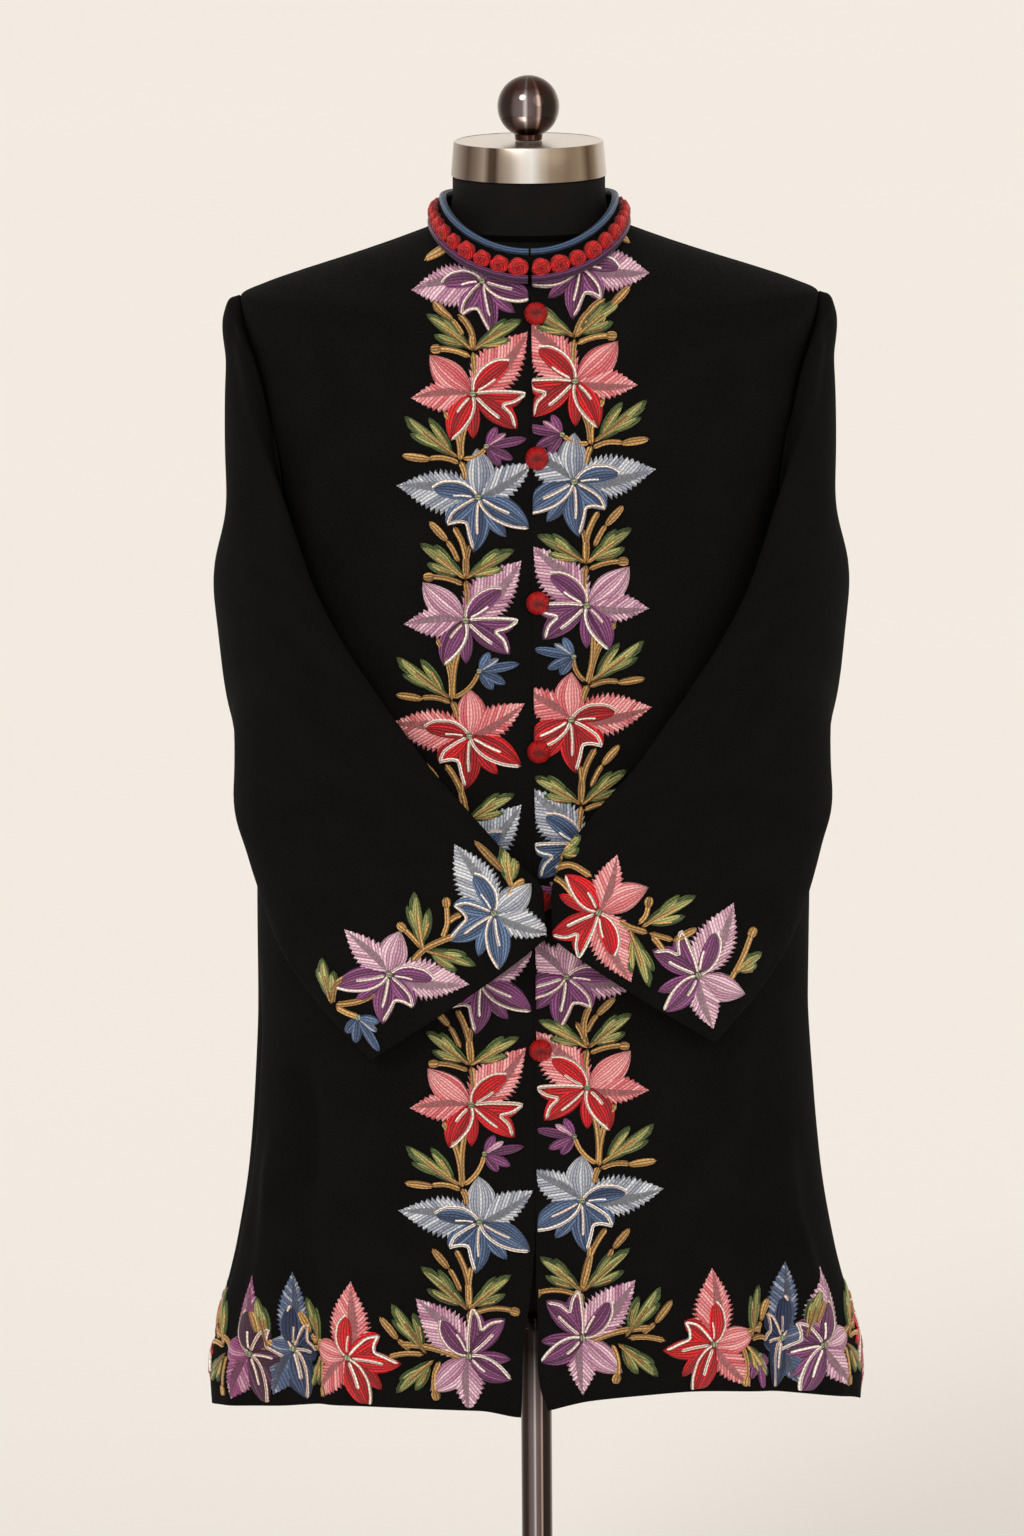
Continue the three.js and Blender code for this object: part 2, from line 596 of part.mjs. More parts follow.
/** A sleeve: an open tube from its armhole to its cuff. */
function sleeve(sideName, side) {
  const table = [...UPPER_SLEEVE, ...FOREARM[sideName]];
  const stations = table.length;
  const clearance = SLEEVE_CLEARANCE;
  const pointAt = (angle, station) => {
    const keyed = [{ k: 0, ...armhole(angle), lift: SLEEVE_SEAM_LIFT }];
    table.forEach((row, k) => keyed.push({ k: k + 1, ...sectionPoint(row, angle) }));
    const [turn, z, lift] = ['turn', 'z', 'lift'].map((column) => along(keyed, 'k', column, station));
    return besideBody(turn, z, lift);
  };
  const rows = COUNTS.sleeveAlong;
  const inner = [];
  for (let i = 0; i <= rows; i += 1) {
    const station = stations * (i / rows) ** SLEEVE_CROWDING;
    inner.push(Array.from({ length: COUNTS.sleeveAround }, (_, j) => (
      pointAt((360 * j) / COUNTS.sleeveAround, station))));
  }
  const outer = inner.map((ring, i) => ring.map((place, j) => {
    const sides = ring.length;
    const around = ring[(j + 1) % sides].clone().sub(ring[(j + sides - 1) % sides]);
    const down = inner[Math.min(i + 1, rows)][j].clone().sub(inner[Math.max(i - 1, 0)][j]);
    const out = down.cross(around).normalize().multiplyScalar(CLOTH);
    return clearOfBody(place.clone().add(out), i === 0 ? SLEEVE_SEAM_LIFT : clearance);
  }));
  inner.forEach((ring, i) => ring.forEach((place) => {
    clearOfBody(place, i === 0 ? SLEEVE_SEAM_LIFT : clearance + Math.min(CLOTH, 0.5 * i));
  }));
  const mirrored = (grid) => grid.map((ring) => ring.map((p) => new THREE.Vector3(side * p.x, p.y, p.z)));
  return wall(mirrored(inner), mirrored(outer), true);
}

// ---------------------------------------------------------------- collar and trims

/** Foot of the collar at a turn about the neck, -180 to 180: on the panels, just clear of them. */
function collarFoot(angle) {
  const edge = neck(Math.abs(angle), SEAM_GAP / 2);
  const foot = bodyPoint(edge.turn, edge.z, ON_CLOTH);
  foot.x *= angle < 0 ? -1 : 1;
  return foot;
}

/** Place on the collar: up runs 0 at the foot to 1 at the top edge, out is off its inner face. */
function collarPoint(angle, up, out) {
  const foot = collarFoot(angle);
  const outward = new THREE.Vector3(foot.x, foot.y * NECK_HALF_WIDTH / NECK_HALF_DEPTH, 0).normalize();
  return foot.addScaledVector(outward, out - COLLAR_LEAN * up)
    .add(new THREE.Vector3(0, 0, COLLAR_HEIGHT * up));
}

/** Turns about the neck, evenly spaced, from one front edge round the back to the other. */
function roundNeck(count, gapTurn) {
  return Array.from({ length: count + 1 }, (_, i) => {
    const angle = mix(gapTurn, 360 - gapTurn, i / count);
    return angle > 180 ? angle - 360 : angle;
  });
}

function collarBand() {
  const turns = roundNeck(COUNTS.collarAround, COLLAR_GAP_TURN);
  const grid = (out) => [0, 0.5, 1].map((up) => turns.map((angle) => collarPoint(angle, up, out)));
  return wall(grid(0), grid(COLLAR_WALL), false);
}

function topCord() {
  const path = roundNeck(COUNTS.cordSteps, TOP_CORD_GAP_TURN).map((angle) => {
    const place = collarPoint(angle, 1, COLLAR_WALL / 2);
    place.z += TOP_CORD_RADIUS + SEAM_GAP;
    return place;
  });
  return cord(path, () => TOP_CORD_RADIUS, COUNTS.cordSides);
}

function baseCord() {
  const out = COLLAR_WALL + BASE_CORD_RADIUS + SEAM_GAP;
  const path = roundNeck(COUNTS.cordSteps, BASE_CORD_GAP_TURN).map((angle) => {
    const place = collarPoint(angle, 0, out);
    place.z += BASE_CORD_RADIUS * (0.1 + 0.3 * Math.sin(radians(angle)) ** 2);
    return place;
  });
  return cord(path, () => BASE_CORD_RADIUS, COUNTS.cordSides);
}

/** The row of balls on its thread: a cord that swells to a ball at each place. */
function collarBalls() {
  const steps = BALL_COUNT * BALL_SWELL.length;
  const places = roundNeck(COUNTS.ballPlaces, BALLS_GAP_TURN).map((angle) => (
    collarPoint(angle, BALL_ROW_UP, COLLAR_WALL + BALL_RELIEF + SEAM_GAP)));
  const lengths = [0];
  for (let i = 1; i < places.length; i += 1) {
    lengths.push(lengths[i - 1] + places[i].distanceTo(places[i - 1]));
  }
  const total = lengths[lengths.length - 1];
  const path = [];
  let k = 0;
  for (let i = 0; i <= steps; i += 1) {
    while (k < lengths.length - 2 && lengths[k + 1] < (total * i) / steps) k += 1;
    const share = ((total * i) / steps - lengths[k]) / (lengths[k + 1] - lengths[k]);
    path.push(places[k].clone().lerp(places[k + 1], share));
  }
  const radiusAt = (i) => BALL_RADIUS * BALL_SWELL[i % BALL_SWELL.length];
  return cord(path, radiusAt, COUNTS.ballSides, BALL_RELIEF / BALL_RADIUS);
}

/** A domed button, its flat back on the left front beside the edge. */
function button(z) {
  const profile = BUTTON_PROFILE.map(({ out, up }) => (
    new THREE.Vector2(out * BUTTON_RADIUS, up * BUTTON_HEIGHT)));
  const geometry = new THREE.LatheGeometry(profile, COUNTS.buttonSides);
  const turn = turnAtX(BUTTON_FROM_EDGE, z, true);
  const foot = bodyPoint(turn, z, ON_CLOTH);
  const out = bodyPoint(turn, z, ON_CLOTH + 1).sub(foot);
  const upright = new THREE.Vector3(0, 1, 0);
  geometry.applyQuaternion(new THREE.Quaternion().setFromUnitVectors(upright, out));
  geometry.translate(foot.x, foot.y, foot.z);
  return geometry;
}

// ---------------------------------------------------------------- dress form and stand

/** Torso and neck in one: the jacket's own sections drawn in, seated under the shoulder seams. */
function dressForm() {
  const sides = COUNTS.formAround;
  const rings = FORM_HEIGHTS.map((z) => Array.from({ length: sides }, (_, j) => {
    const turn = (360 * j) / sides;
    const cut = section(z + FORM_SHOULDER_DROP, turn <= 90 || turn >= 270);
    const onShoulder = z > FORM_SHOULDER_FOOT;
    const ease = z === FORM_BOTTOM || onShoulder ? 2 * FORM_EASE : FORM_EASE;
    const sideEase = onShoulder ? SEAM_GAP : ease;
    const power = onShoulder ? FORM_SHOULDER_POWER : cut.power - FORM_POWER_EASE;
    return superellipse(turn, cut.halfWidth - sideEase, cut.depth - ease, power, 0, z);
  }));
  for (const { z, flare } of FORM_NECK) {
    rings.push(Array.from({ length: sides }, (_, j) => {
      const turn = (2 * Math.PI * j) / sides;
      const radius = FORM_NECK_RADIUS + flare;
      return new THREE.Vector3(radius * Math.sin(turn), -radius * Math.cos(turn), z);
    }));
  }
  return skinned(rings);
}

/** A solid or tube turned about the pole's axis, from pairs of radius and height. */
function turned(profile, sides) {
  const outline = profile.map(([r, z]) => new THREE.Vector2(r, z));
  const geometry = new THREE.LatheGeometry(outline, sides);
  geometry.rotateX(Math.PI / 2);
  return geometry;
}

const capBottom = FORM_NECK_TOP + SEAM_GAP;
const capTop = capBottom + CAP_HEIGHT;
const finialBottom = capTop + SEAM_GAP;
const ballCentre = finialBottom + FINIAL_STEM + FINIAL_RADIUS;
const tubeCollarFoot = TUBE_TOP + SEAM_GAP;
const rodTop = FORM_BOTTOM - SEAM_GAP;

function neckCap() {
  return turned([
    [0, capBottom], [CAP_BOTTOM_RADIUS - CAP_CHAMFER, capBottom],
    [CAP_BOTTOM_RADIUS, capBottom + CAP_CHAMFER], [CAP_TOP_RADIUS, capTop - CAP_CHAMFER],
    [CAP_TOP_RADIUS - CAP_CHAMFER, capTop], [0, capTop],
  ], COUNTS.capSides);
}

function finial() {
  const profile = [
    [0, finialBottom], [FINIAL_STEM_RADIUS, finialBottom],
    [FINIAL_STEM_RADIUS, ballCentre - FINIAL_RADIUS * 0.9],
  ];
  for (let angle = -60; angle < 90; angle += 15) {
    profile.push([
      FINIAL_RADIUS * Math.cos(radians(angle)),
      ballCentre + FINIAL_RADIUS * Math.sin(radians(angle)),
    ]);
  }
  profile.push([0, ballCentre + FINIAL_RADIUS]);
  return turned(profile, COUNTS.roundSides);
}

function innerRod() {
  const flangeZ = rodTop - ROD_FLANGE_HEIGHT;
  return turned([
    [0, ROD_BOTTOM], [ROD_RADIUS, ROD_BOTTOM], [ROD_RADIUS, flangeZ],
    [ROD_FLANGE_RADIUS, flangeZ], [ROD_FLANGE_RADIUS, rodTop], [0, rodTop],
  ], COUNTS.roundSides);
}

function tube(radius, low, high, chamfer) {
  return turned([
    [TUBE_BORE, low], [radius - chamfer, low], [radius, low + chamfer],
    [radius, high - chamfer], [radius - chamfer, high], [TUBE_BORE, high], [TUBE_BORE, low],
  ], COUNTS.roundSides);
}

function basePlate() {
  return turned([
    [0, 0], [BASE_RADIUS, 0], [BASE_RADIUS, BASE_EDGE],
    [BASE_RADIUS - BASE_BEVEL, BASE_EDGE + BASE_BEVEL / 2],
    [BASE_HUB_FOOT_RADIUS, BASE_HEIGHT - 1], [BASE_HUB_RADIUS, BASE_HEIGHT], [0, BASE_HEIGHT],
  ], COUNTS.baseSides);
}

// ---------------------------------------------------------------- assembly

const root = new THREE.Group();

/** Adds a mesh under a name, its equal vertices merged. */
function add(name, geometry, color, roughness, metalness) {
  for (const attribute of ['normal', 'uv']) geometry.deleteAttribute(attribute);
  const merged = mergeVertices(geometry, 1e-3);
  merged.computeVertexNormals();
  const mesh = new THREE.Mesh(merged, new THREE.MeshStandardMaterial({ color, roughness, metalness }));
  mesh.name = name;
  root.add(mesh);
}

for (const [sideName, side] of [['left', 1], ['right', -1]]) {
  add(`front_${sideName}`, frontPanel(sideName, side), COLOURS.cloth, 0.95, 0);
  add(`sleeve_${sideName}`, sleeve(sideName, side), COLOURS.cloth, 0.95, 0);
}
add('back', backPanel(), COLOURS.cloth, 0.95, 0);

add('collar', collarBand(), COLOURS.cloth, 0.95, 0);
add('collar_top_cord', topCord(), COLOURS.blue, 0.8, 0);
add('collar_base_cord', baseCord(), COLOURS.purple, 0.8, 0);
add('collar_balls', collarBalls(), COLOURS.red, 0.85, 0);
BUTTON_HEIGHTS.forEach((z, i) => add(`button_${i + 1}`, button(z), COLOURS.red, 0.8, 0));

add('dress_form', dressForm(), COLOURS.jersey, 0.85, 0);
add('neck_cap', neckCap(), COLOURS.steel, 0.35, 1);
add('finial', finial(), COLOURS.chrome, 0.12, 1);
add('inner_rod', innerRod(), COLOURS.paint, 0.5, 0.6);
const tubeCollarTop = tubeCollarFoot + TUBE_COLLAR_HEIGHT;
const tubeCollar = tube(TUBE_COLLAR_RADIUS, tubeCollarFoot, tubeCollarTop, TUBE_COLLAR_CHAMFER);
add('tube_collar', tubeCollar, COLOURS.chrome, 0.2, 1);
const outerTube = tube(TUBE_RADIUS, BASE_HEIGHT + SEAM_GAP, TUBE_TOP, TUBE_CHAMFER);
add('outer_tube', outerTube, COLOURS.steel, 0.25, 1);
add('base_plate', basePlate(), COLOURS.paint, 0.5, 0.6);

export default root;
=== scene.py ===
"""Embroidered jacket on its dress form: cloth, chain-stitch embroidery, trims, form and stand.

Lengths in the tables are millimetres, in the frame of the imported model: +Z is up, the jacket's
front faces -Y, and +X is the wearer's left. A place on the jacket is its turn (degrees round the
body: 0 centre front, 90 left side, 180 centre back), its height, and its lift off the inside of
the cloth.
"""

import math

import bmesh
import bpy
import numpy as np
from mathutils import Matrix, Vector


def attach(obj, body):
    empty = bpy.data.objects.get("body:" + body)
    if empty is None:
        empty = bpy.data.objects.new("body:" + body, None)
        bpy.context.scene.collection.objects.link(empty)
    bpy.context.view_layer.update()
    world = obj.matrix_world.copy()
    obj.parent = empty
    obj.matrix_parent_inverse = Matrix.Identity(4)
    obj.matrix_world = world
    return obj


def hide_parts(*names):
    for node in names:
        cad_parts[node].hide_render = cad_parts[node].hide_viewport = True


bl_info = {
    "name": "Embroidered jacket",
    "version": (1, 0, 0),
    "blender": (4, 5, 0),
    "location": "View3D > Sidebar > Jacket",
    "description": "Builds a chain-stitch embroidered jacket, its dress form and its stand",
    "category": "Add Mesh",
}

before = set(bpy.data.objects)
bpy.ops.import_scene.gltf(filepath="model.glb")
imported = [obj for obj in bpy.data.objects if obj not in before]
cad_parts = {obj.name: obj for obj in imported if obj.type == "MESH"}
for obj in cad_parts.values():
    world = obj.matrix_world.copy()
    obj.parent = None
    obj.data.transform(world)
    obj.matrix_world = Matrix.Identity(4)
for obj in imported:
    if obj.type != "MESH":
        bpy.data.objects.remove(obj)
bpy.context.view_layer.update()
MM = 0.001
MERGE_DISTANCE = 1e-7
BODY_NAME = "form"


def table(columns, *rows):
    """A table's columns by name, each an array down its rows."""
    return {name: np.array([row[i] for row in rows], float) for i, name in enumerate(columns.split())}


# ---------------------------------------------------------------- sizes of the jacket

CLOTH = 1.5
SEAM_GAP = 0.3
ON_CLOTH = CLOTH + SEAM_GAP
SLEEVE_SEAM_LIFT = 2.05
SLEEVE_CLEARANCE = 2.4
UNDERARM_HEIGHT = 885
SHOULDER_TIP_HEIGHT = 1096
NECK_HALF_WIDTH = 61
NECK_HALF_DEPTH = 72
NECK_SIDE_HEIGHT = 1145
NECK_FRONT_DROP = 28
NECK_BACK_DROP = 3
COLLAR_WALL = 2
COLLAR_HEIGHT = 15.5
COLLAR_LEAN = 3.5
TOP_CORD_RADIUS = 2.5
BASE_CORD_RADIUS = 3
BALL_COUNT = 36
BALL_ROW_UP = 0.5
KNOT_RADIUS = 6.6
KNOT_RELIEF = 4.2
BUTTON_RADIUS = 8
BUTTON_HEIGHT = 6
BUTTON_FROM_EDGE = 4
BUTTON_HEIGHTS = (1095, 1000, 902, 799, 694, 588)
FORM_BOTTOM = 520
FORM_EASE = 7
FORM_SHOULDER_FOOT = 1085
FORM_NECK_RADIUS = 52.5
FORM_NECK_TOP = 1178.7
FINIAL_RADIUS = 21.4
CAP_FOOT = FORM_NECK_TOP + SEAM_GAP
CAP_TOP = CAP_FOOT + 24
BALL_FOOT = CAP_TOP + SEAM_GAP
BALL_MIDDLE = BALL_FOOT + 1.6 + FINIAL_RADIUS
# Share of a front's height, or of the back's, at which the side seam ends under the arm.
SIDE_SEAM_SHARE = 0.58
# Stations along a sleeve: 0 at the armhole, this many at the cuff.
CUFF_STATION = 12

# Inside of the cloth, from the hem up to the shoulders and the neck.
BODY = table(
    "z half_width front back power",
    (296, 228, 108, 114, 2.25), (330, 230, 109, 114, 2.25), (350, 228, 109, 113, 2.25),
    (380, 221, 110, 111, 2.25), (420, 211, 111, 107, 2.3), (480, 201, 112, 102, 2.3),
    (540, 196, 113, 99, 2.3), (600, 193, 114, 97, 2.3), (700, 192, 117, 99, 2.3),
    (800, 188, 120, 103, 2.3), (885, 184, 121, 106, 2.3), (960, 184, 118, 106, 2.2),
    (1020, 188, 112, 102, 2.1), (1060, 193, 105, 97, 2), (1085, 197, 97, 91, 2),
    (1096, 198, 93, 87, 2), (1103, 184, 90, 84, 2), (1111, 161, 85, 80, 2),
    (1122, 126, 78, 73, 2), (1133, 93, 71, 67, 2), (1145, 61, 62, 60, 2), (1154, 42, 54, 54, 2),
)
# Soft flutes of the skirt below the waist.
FLUTES = ((-128, 15, 5), (-72, 11, 4), (-38, 12, 2.5), (33, 12, 2.5), (70, 11, 4.5),
          (122, 14, 5), (166, 13, 4), (-164, 12, 3.5))
FLUTE_TOP = 560
FLUTE_HEM = 310
HEM = table(
    "turn z",
    (-180, 308), (-130, 306), (-90, 305), (-70, 313), (-50, 322), (-30, 329), (-10, 328),
    (-2, 323), (2, 328), (10, 335), (25, 339), (41, 334), (66, 318), (90, 305), (130, 306),
    (180, 308),
)
ARMHOLE = table(
    "angle fore aft",
    (-90, 0, 0), (-65, 24, 25), (-40, 43, 46), (-15, 52, 57), (5, 46, 58), (25, 28, 50),
    (45, 16, 35), (68, 7, 16), (90, 0, 0),
)
# How far each front edge stands off the centre line.
FRONT_EDGE = table(
    "z right left",
    (300, 13, 13), (330, 11, 7.5), (345, 10.5, 3), (365, 10, 1), (385, 8, 1.5), (430, 2.5, 0.5),
    (480, 0.15, 0.15), (1120, 0.15, 0.15),
)
FRONT_ROWS = table(
    "centre_height neck_turn armhole_turn",
    (885, 0, -90), (930, 0, -62), (980, 0, -38), (1028, 0, -15), (1072, 0, 8), (1117, 0, 30),
    (1117, 20, 44), (1117, 42, 58), (1117, 65, 73), (1117, 90, 90),
)
SLEEVE_COLUMNS = (
    "fore_turn fore_z fore_lift aft_turn aft_z aft_lift outer_z outer_lift inner_z inner_lift")
UPPER_SLEEVE = (
    (66, 986, 5, 118, 990, 6, 1092, 9, 883, 5),
    (64, 976, 8, 119, 980, 10, 1082, 12.5, 874, 6),
    (60, 956, 11, 119, 962, 14, 1056, 18, 858, 6),
    (52, 930, 13, 116, 936, 17, 1012, 23, 838, 5.5),
    (44.5, 897, 14, 112, 900, 20, 950, 29, 815, 5.5),
    (36, 860, 15, 107, 860, 23, 890, 34, 790, 5.5),
    (27.5, 824, 15, 98, 812, 17, 830, 30, 764, 5.5),
    (20, 789, 15, 84, 756, 10, 773, 25, 740, 5.5),
)
FOREARM = {
    "left": (
        (12, 757, 14, 68, 697, 9, 729, 24, 720, 5.5),
        (6, 727, 13.5, 53, 647, 12, 688, 26, 686, 5.5),
        (3.7, 700, 13, 43, 616, 12, 656, 24.5, 656, 5.5),
        (3.9, 671, 13, 35, 592, 12, 628, 23.5, 632, 5.5),
    ),
    "right": (
        (13, 760, 14, 65, 691, 9, 728, 24, 720, 5.5),
        (6, 731, 13.5, 52, 645, 12, 688, 26, 686, 5.5),
        (-1.4, 702, 13, 40, 607, 12, 654, 24.5, 654, 5.5),
        (-1.9, 671, 13, 31.5, 582, 12, 624, 23.5, 628, 5.5),
    ),
}
SIDES = {"left": 1, "right": -1}

# Creases of the body cloth: a stroke from one place to another, its half width and its depth
# (troughs are negative, ridges positive).
BODY_CREASES = (
    # turn, z, to turn, to z, half width, depth
    (-52, 560, -44, 312, 15, -9), (-60, 500, -62, 312, 13, 5), (-30, 520, -34, 330, 18, 2.5),
    (50, 560, 46, 318, 15, -8), (58, 500, 60, 312, 12, 5), (24, 520, 22, 335, 18, 2),
    (-38, 1092, -41, 950, 8, -2.6), (-30, 1080, -31, 930, 8, 1.8), (-47, 1085, -53, 940, 8, 2.0),
    (37, 1092, 40, 960, 8, -2.2), (29, 1080, 30, 940, 8, 1.5), (47, 1085, 52, 950, 8, 1.8),
    (-80, 600, -92, 310, 15, -5), (86, 620, 96, 308, 15, -5), (108, 560, 106, 308, 14, -4),
    (-110, 560, -108, 308, 14, -4), (145, 540, 148, 310, 18, -5), (-146, 540, -149, 310, 18, -5),
    (178, 520, 180, 312, 16, -3.5),
    (-26, 1050, -62, 985, 13, -2.2), (-22, 1005, -58, 950, 12, 1.4), (26, 1060, 60, 990, 13, -2),
    (20, 1010, 56, 960, 12, 1.3), (-30, 955, -66, 905, 13, -2), (30, 950, 64, 900, 13, -1.8),
    (-12, 700, -40, 640, 16, -2), (12, 690, 42, 625, 16, -1.8), (-8, 600, -50, 540, 15, 1.6),
    (10, 590, 52, 545, 15, 1.6), (140, 990, 116, 930, 16, -3), (-142, 985, -118, 925, 16, -3),
    (150, 930, 118, 900, 14, 2), (-150, 935, -118, 900, 14, 2), (178, 860, 140, 800, 18, -2.5),
    (-176, 840, -138, 790, 18, -2.5), (160, 780, 110, 740, 16, 2), (-158, 770, -110, 735, 16, 2),
    (172, 700, 128, 660, 18, -2.5), (-170, 690, -126, 650, 18, -2.5),
)
# Creases of a sleeve, in its angle (0 fore fold, 90 outer face) and station (0 armhole, 12 cuff).
SLEEVE_CREASES = (
    # angle, station, to angle, to station, half width, depth
    (40, 6.2, 150, 7.6, 9, -4.5), (30, 7.2, 140, 8.4, 8, 2.5), (20, 7.9, 120, 9.2, 9, -3.5),
    (10, 6.8, 80, 7.3, 7, -2.5), (60, 5.2, 160, 6.4, 11, 2.2), (30, 4.2, 110, 5.2, 11, -2.5),
    (60, 2.6, 130, 3.8, 12, -2), (120, 0.7, 128, 3.4, 10, -2.4), (96, 0.5, 100, 3, 9, 1.5),
    (70, 0.6, 66, 2.8, 9, -2), (45, 0.9, 40, 3.4, 9, 1.6), (150, 8.2, 60, 9.8, 8, 1.5),
    (160, 5, 200, 6.2, 10, -2), (100, 9.4, 160, 10.4, 9, -1.5),
)


# ---------------------------------------------------------------- the jacket's surface

def curve(keys, values, place):
    """Value between a table's rows: the cubic through them whose slope at a row is the harmonic
    mean of the slopes beside it, or level where those differ in sign, so it never overshoots."""
    keys, values = np.asarray(keys, float), np.asarray(values, float)
    place = np.clip(np.asarray(place, float), keys[0], keys[-1])
    step = np.diff(keys)
    slope = (np.diff(values, axis=0).T / step).T
    product, total = slope[:-1] * slope[1:], slope[:-1] + slope[1:]
    inner = np.where(product > 0, 2 * product / np.where(product > 0, total, 1), 0)
    tangent = np.concatenate([slope[:1], inner, slope[-1:]])
    i = np.clip(np.searchsorted(keys, place, side="right") - 1, 0, len(step) - 1)
    column = (np.arange(place.size),) if values.ndim == 2 else ()
    low, high = (i, *column), (i + 1, *column)
    u = (place - keys[i]) / step[i]
    return (
        (2 * u**3 - 3 * u**2 + 1) * values[low] + (u**3 - 2 * u**2 + u) * step[i] * tangent[low]
        + (3 * u**2 - 2 * u**3) * values[high] + (u**3 - u**2) * step[i] * tangent[high]
    )


def mix(a, b, share):
    """Straight blend from a to b."""
    return a + (b - a) * share


def unit(vectors):
    """Vectors divided by their lengths."""
    return vectors / np.maximum(np.linalg.norm(vectors, axis=-1, keepdims=True), 1e-9)


def distance_along(points, axis=0):
    """Distance from a grid's first point to each, along one of its axes."""
    steps = np.linalg.norm(np.diff(points, axis=axis), axis=-1)
    return np.concatenate([np.zeros_like(steps.take([0], axis)), np.cumsum(steps, axis)], axis)


def signed_turn(turn):
    """A turn brought between -180 and 180."""
    return np.mod(turn + 180, 360) - 180


def body_size(column, z):
    """A column of the body's table at a height."""
    return curve(BODY["z"], BODY[column], z)


def section_depth(z, faces_front):
    """Depth of the body's section at a height, to the front or to the back."""
    return np.where(faces_front, body_size("front", z), body_size("back", z))


def flute(turn, z):
    """Outward swell of the skirt: a bell curve in turn for each flute, growing with the square of
    the fall below the waist."""
    fall = np.clip((FLUTE_TOP - z) / (FLUTE_TOP - FLUTE_HEM), 0, 1)
    swell = 0.0
    for centre, width, depth in FLUTES:
        away = signed_turn(turn - centre) / width
        swell = swell + depth * np.exp(-away * away)
    return swell * fall * fall


def superellipse(turn, a, b, power, swell, z):
    """Point at a turn on the curve |x/a|^p + |y/b|^p = 1, moved out along its ray by a swell."""
    t = np.radians(turn)
    ray = np.arctan2(a * np.sin(t), b * np.cos(t))
    reach = (np.abs(np.sin(ray) / a) ** power + np.abs(np.cos(ray) / b) ** power) ** (-1 / power)
    reach = reach + swell
    return np.stack([reach * np.sin(ray), -reach * np.cos(ray), z + 0 * reach], -1)


def plan_point(turn, z, spread=0.0):
    """Place in plan on the body's section at a height, the section grown sideways by spread."""
    turn, z = np.broadcast_arrays(np.asarray(turn, float), np.asarray(z, float))
    half = body_size("half_width", z) + spread
    depth = section_depth(z, np.abs(turn) <= 90) + spread
    return superellipse(turn, half, depth, body_size("power", z), flute(turn, z), z)


def strokes(across, along, creases, across_size, along_size):
    """Sum of creases: each a bell curve across its stroke, fading to nothing at the stroke's ends
    and wavering a little along it."""
    total = 0.0
    for k, (a0, b0, a1, b1, half, depth) in enumerate(creases):
        start = np.array([a0 * across_size, b0 * along_size])
        way = np.array([a1 * across_size, b1 * along_size]) - start
        length = np.hypot(*way)
        way = way / length
        x, y = across * across_size - start[0], along * along_size - start[1]
        run = (x * way[0] + y * way[1]) / length
        off = (-x * way[1] + y * way[0]) / half + 0.35 * np.sin(5.3 * run + 1.7 * k)
        fade = np.clip(run + 0.18, 0, 1) * np.clip(1.18 - run, 0, 1) * 4
        fade = np.clip(fade, 0, 1) ** 1.5 * (1 + 0.25 * np.sin(9 * run + k))
        total = total + depth * np.exp(-off * off) * fade
    return total


def body_crease(turn, z):
    """Lift of the body cloth's creases."""
    return strokes(turn, z, BODY_CREASES, 2.9, 1.0)


def body_frame(turn, z, creased=True):
    """Place on the inside of the cloth and the surface's normal there, from central differences."""
    turn, z = np.broadcast_arrays(np.asarray(turn, float), np.asarray(z, float))

    def place(t, h):
        point = plan_point(t, h)
        if creased:
            point = point + unit(point * (1, 1, 0)) * body_crease(t, h)[..., None]
        return point

    round_body = place(turn + 0.3, z) - place(turn - 0.3, z)
    upward = place(turn, z + 0.8) - place(turn, z - 0.8)
    return place(turn, z), unit(np.cross(round_body, upward))


def body_point(turn, z, lift, creased=True):
    """Place on the body, lifted off the inside of the cloth along the surface's normal."""
    place, normal = body_frame(turn, z, creased)
    return place + normal * np.asarray(lift, float)[..., None]


def turn_at_x(x, z, faces_front):
    """Turn at which the body stands x from the centre line, by halving the quarter turn."""
    x, z, faces_front = np.broadcast_arrays(np.asarray(x, float), np.asarray(z, float), faces_front)
    centre = np.where(faces_front, 0.0, 180.0)
    low, high = np.zeros(x.shape), np.full(x.shape, 90.0)
    for _ in range(26):
        middle = (low + high) / 2
        short = plan_point(np.abs(centre - middle), z)[..., 0] < x
        low, high = np.where(short, middle, low), np.where(short, high, middle)
    return np.abs(centre - low)


def turn_at_y(y, z, faces_front):
    """Turn of a place that stands y in front of the side, or behind it."""
    from_side = np.degrees(np.arcsin(np.minimum(1, np.abs(y) / section_depth(z, faces_front))))
    return np.where(faces_front, 90 - from_side, 90 + from_side)


def armhole(angle):
    """Turn and height of the armhole's edge: angle 0 front, 90 shoulder tip, 180 back."""
    middle = (SHOULDER_TIP_HEIGHT + UNDERARM_HEIGHT) / 2
    reach = (SHOULDER_TIP_HEIGHT - UNDERARM_HEIGHT) / 2
    sine = np.sin(np.radians(angle))
    is_fore = np.cos(np.radians(angle)) >= 0
    rise = np.degrees(np.arcsin(sine))
    fore, aft = (curve(ARMHOLE["angle"], ARMHOLE[column], rise) for column in ("fore", "aft"))
    off = np.where(is_fore, fore, aft)
    z = middle + reach * sine
    return turn_at_y(np.maximum(off, SEAM_GAP / 2), z, is_fore), z


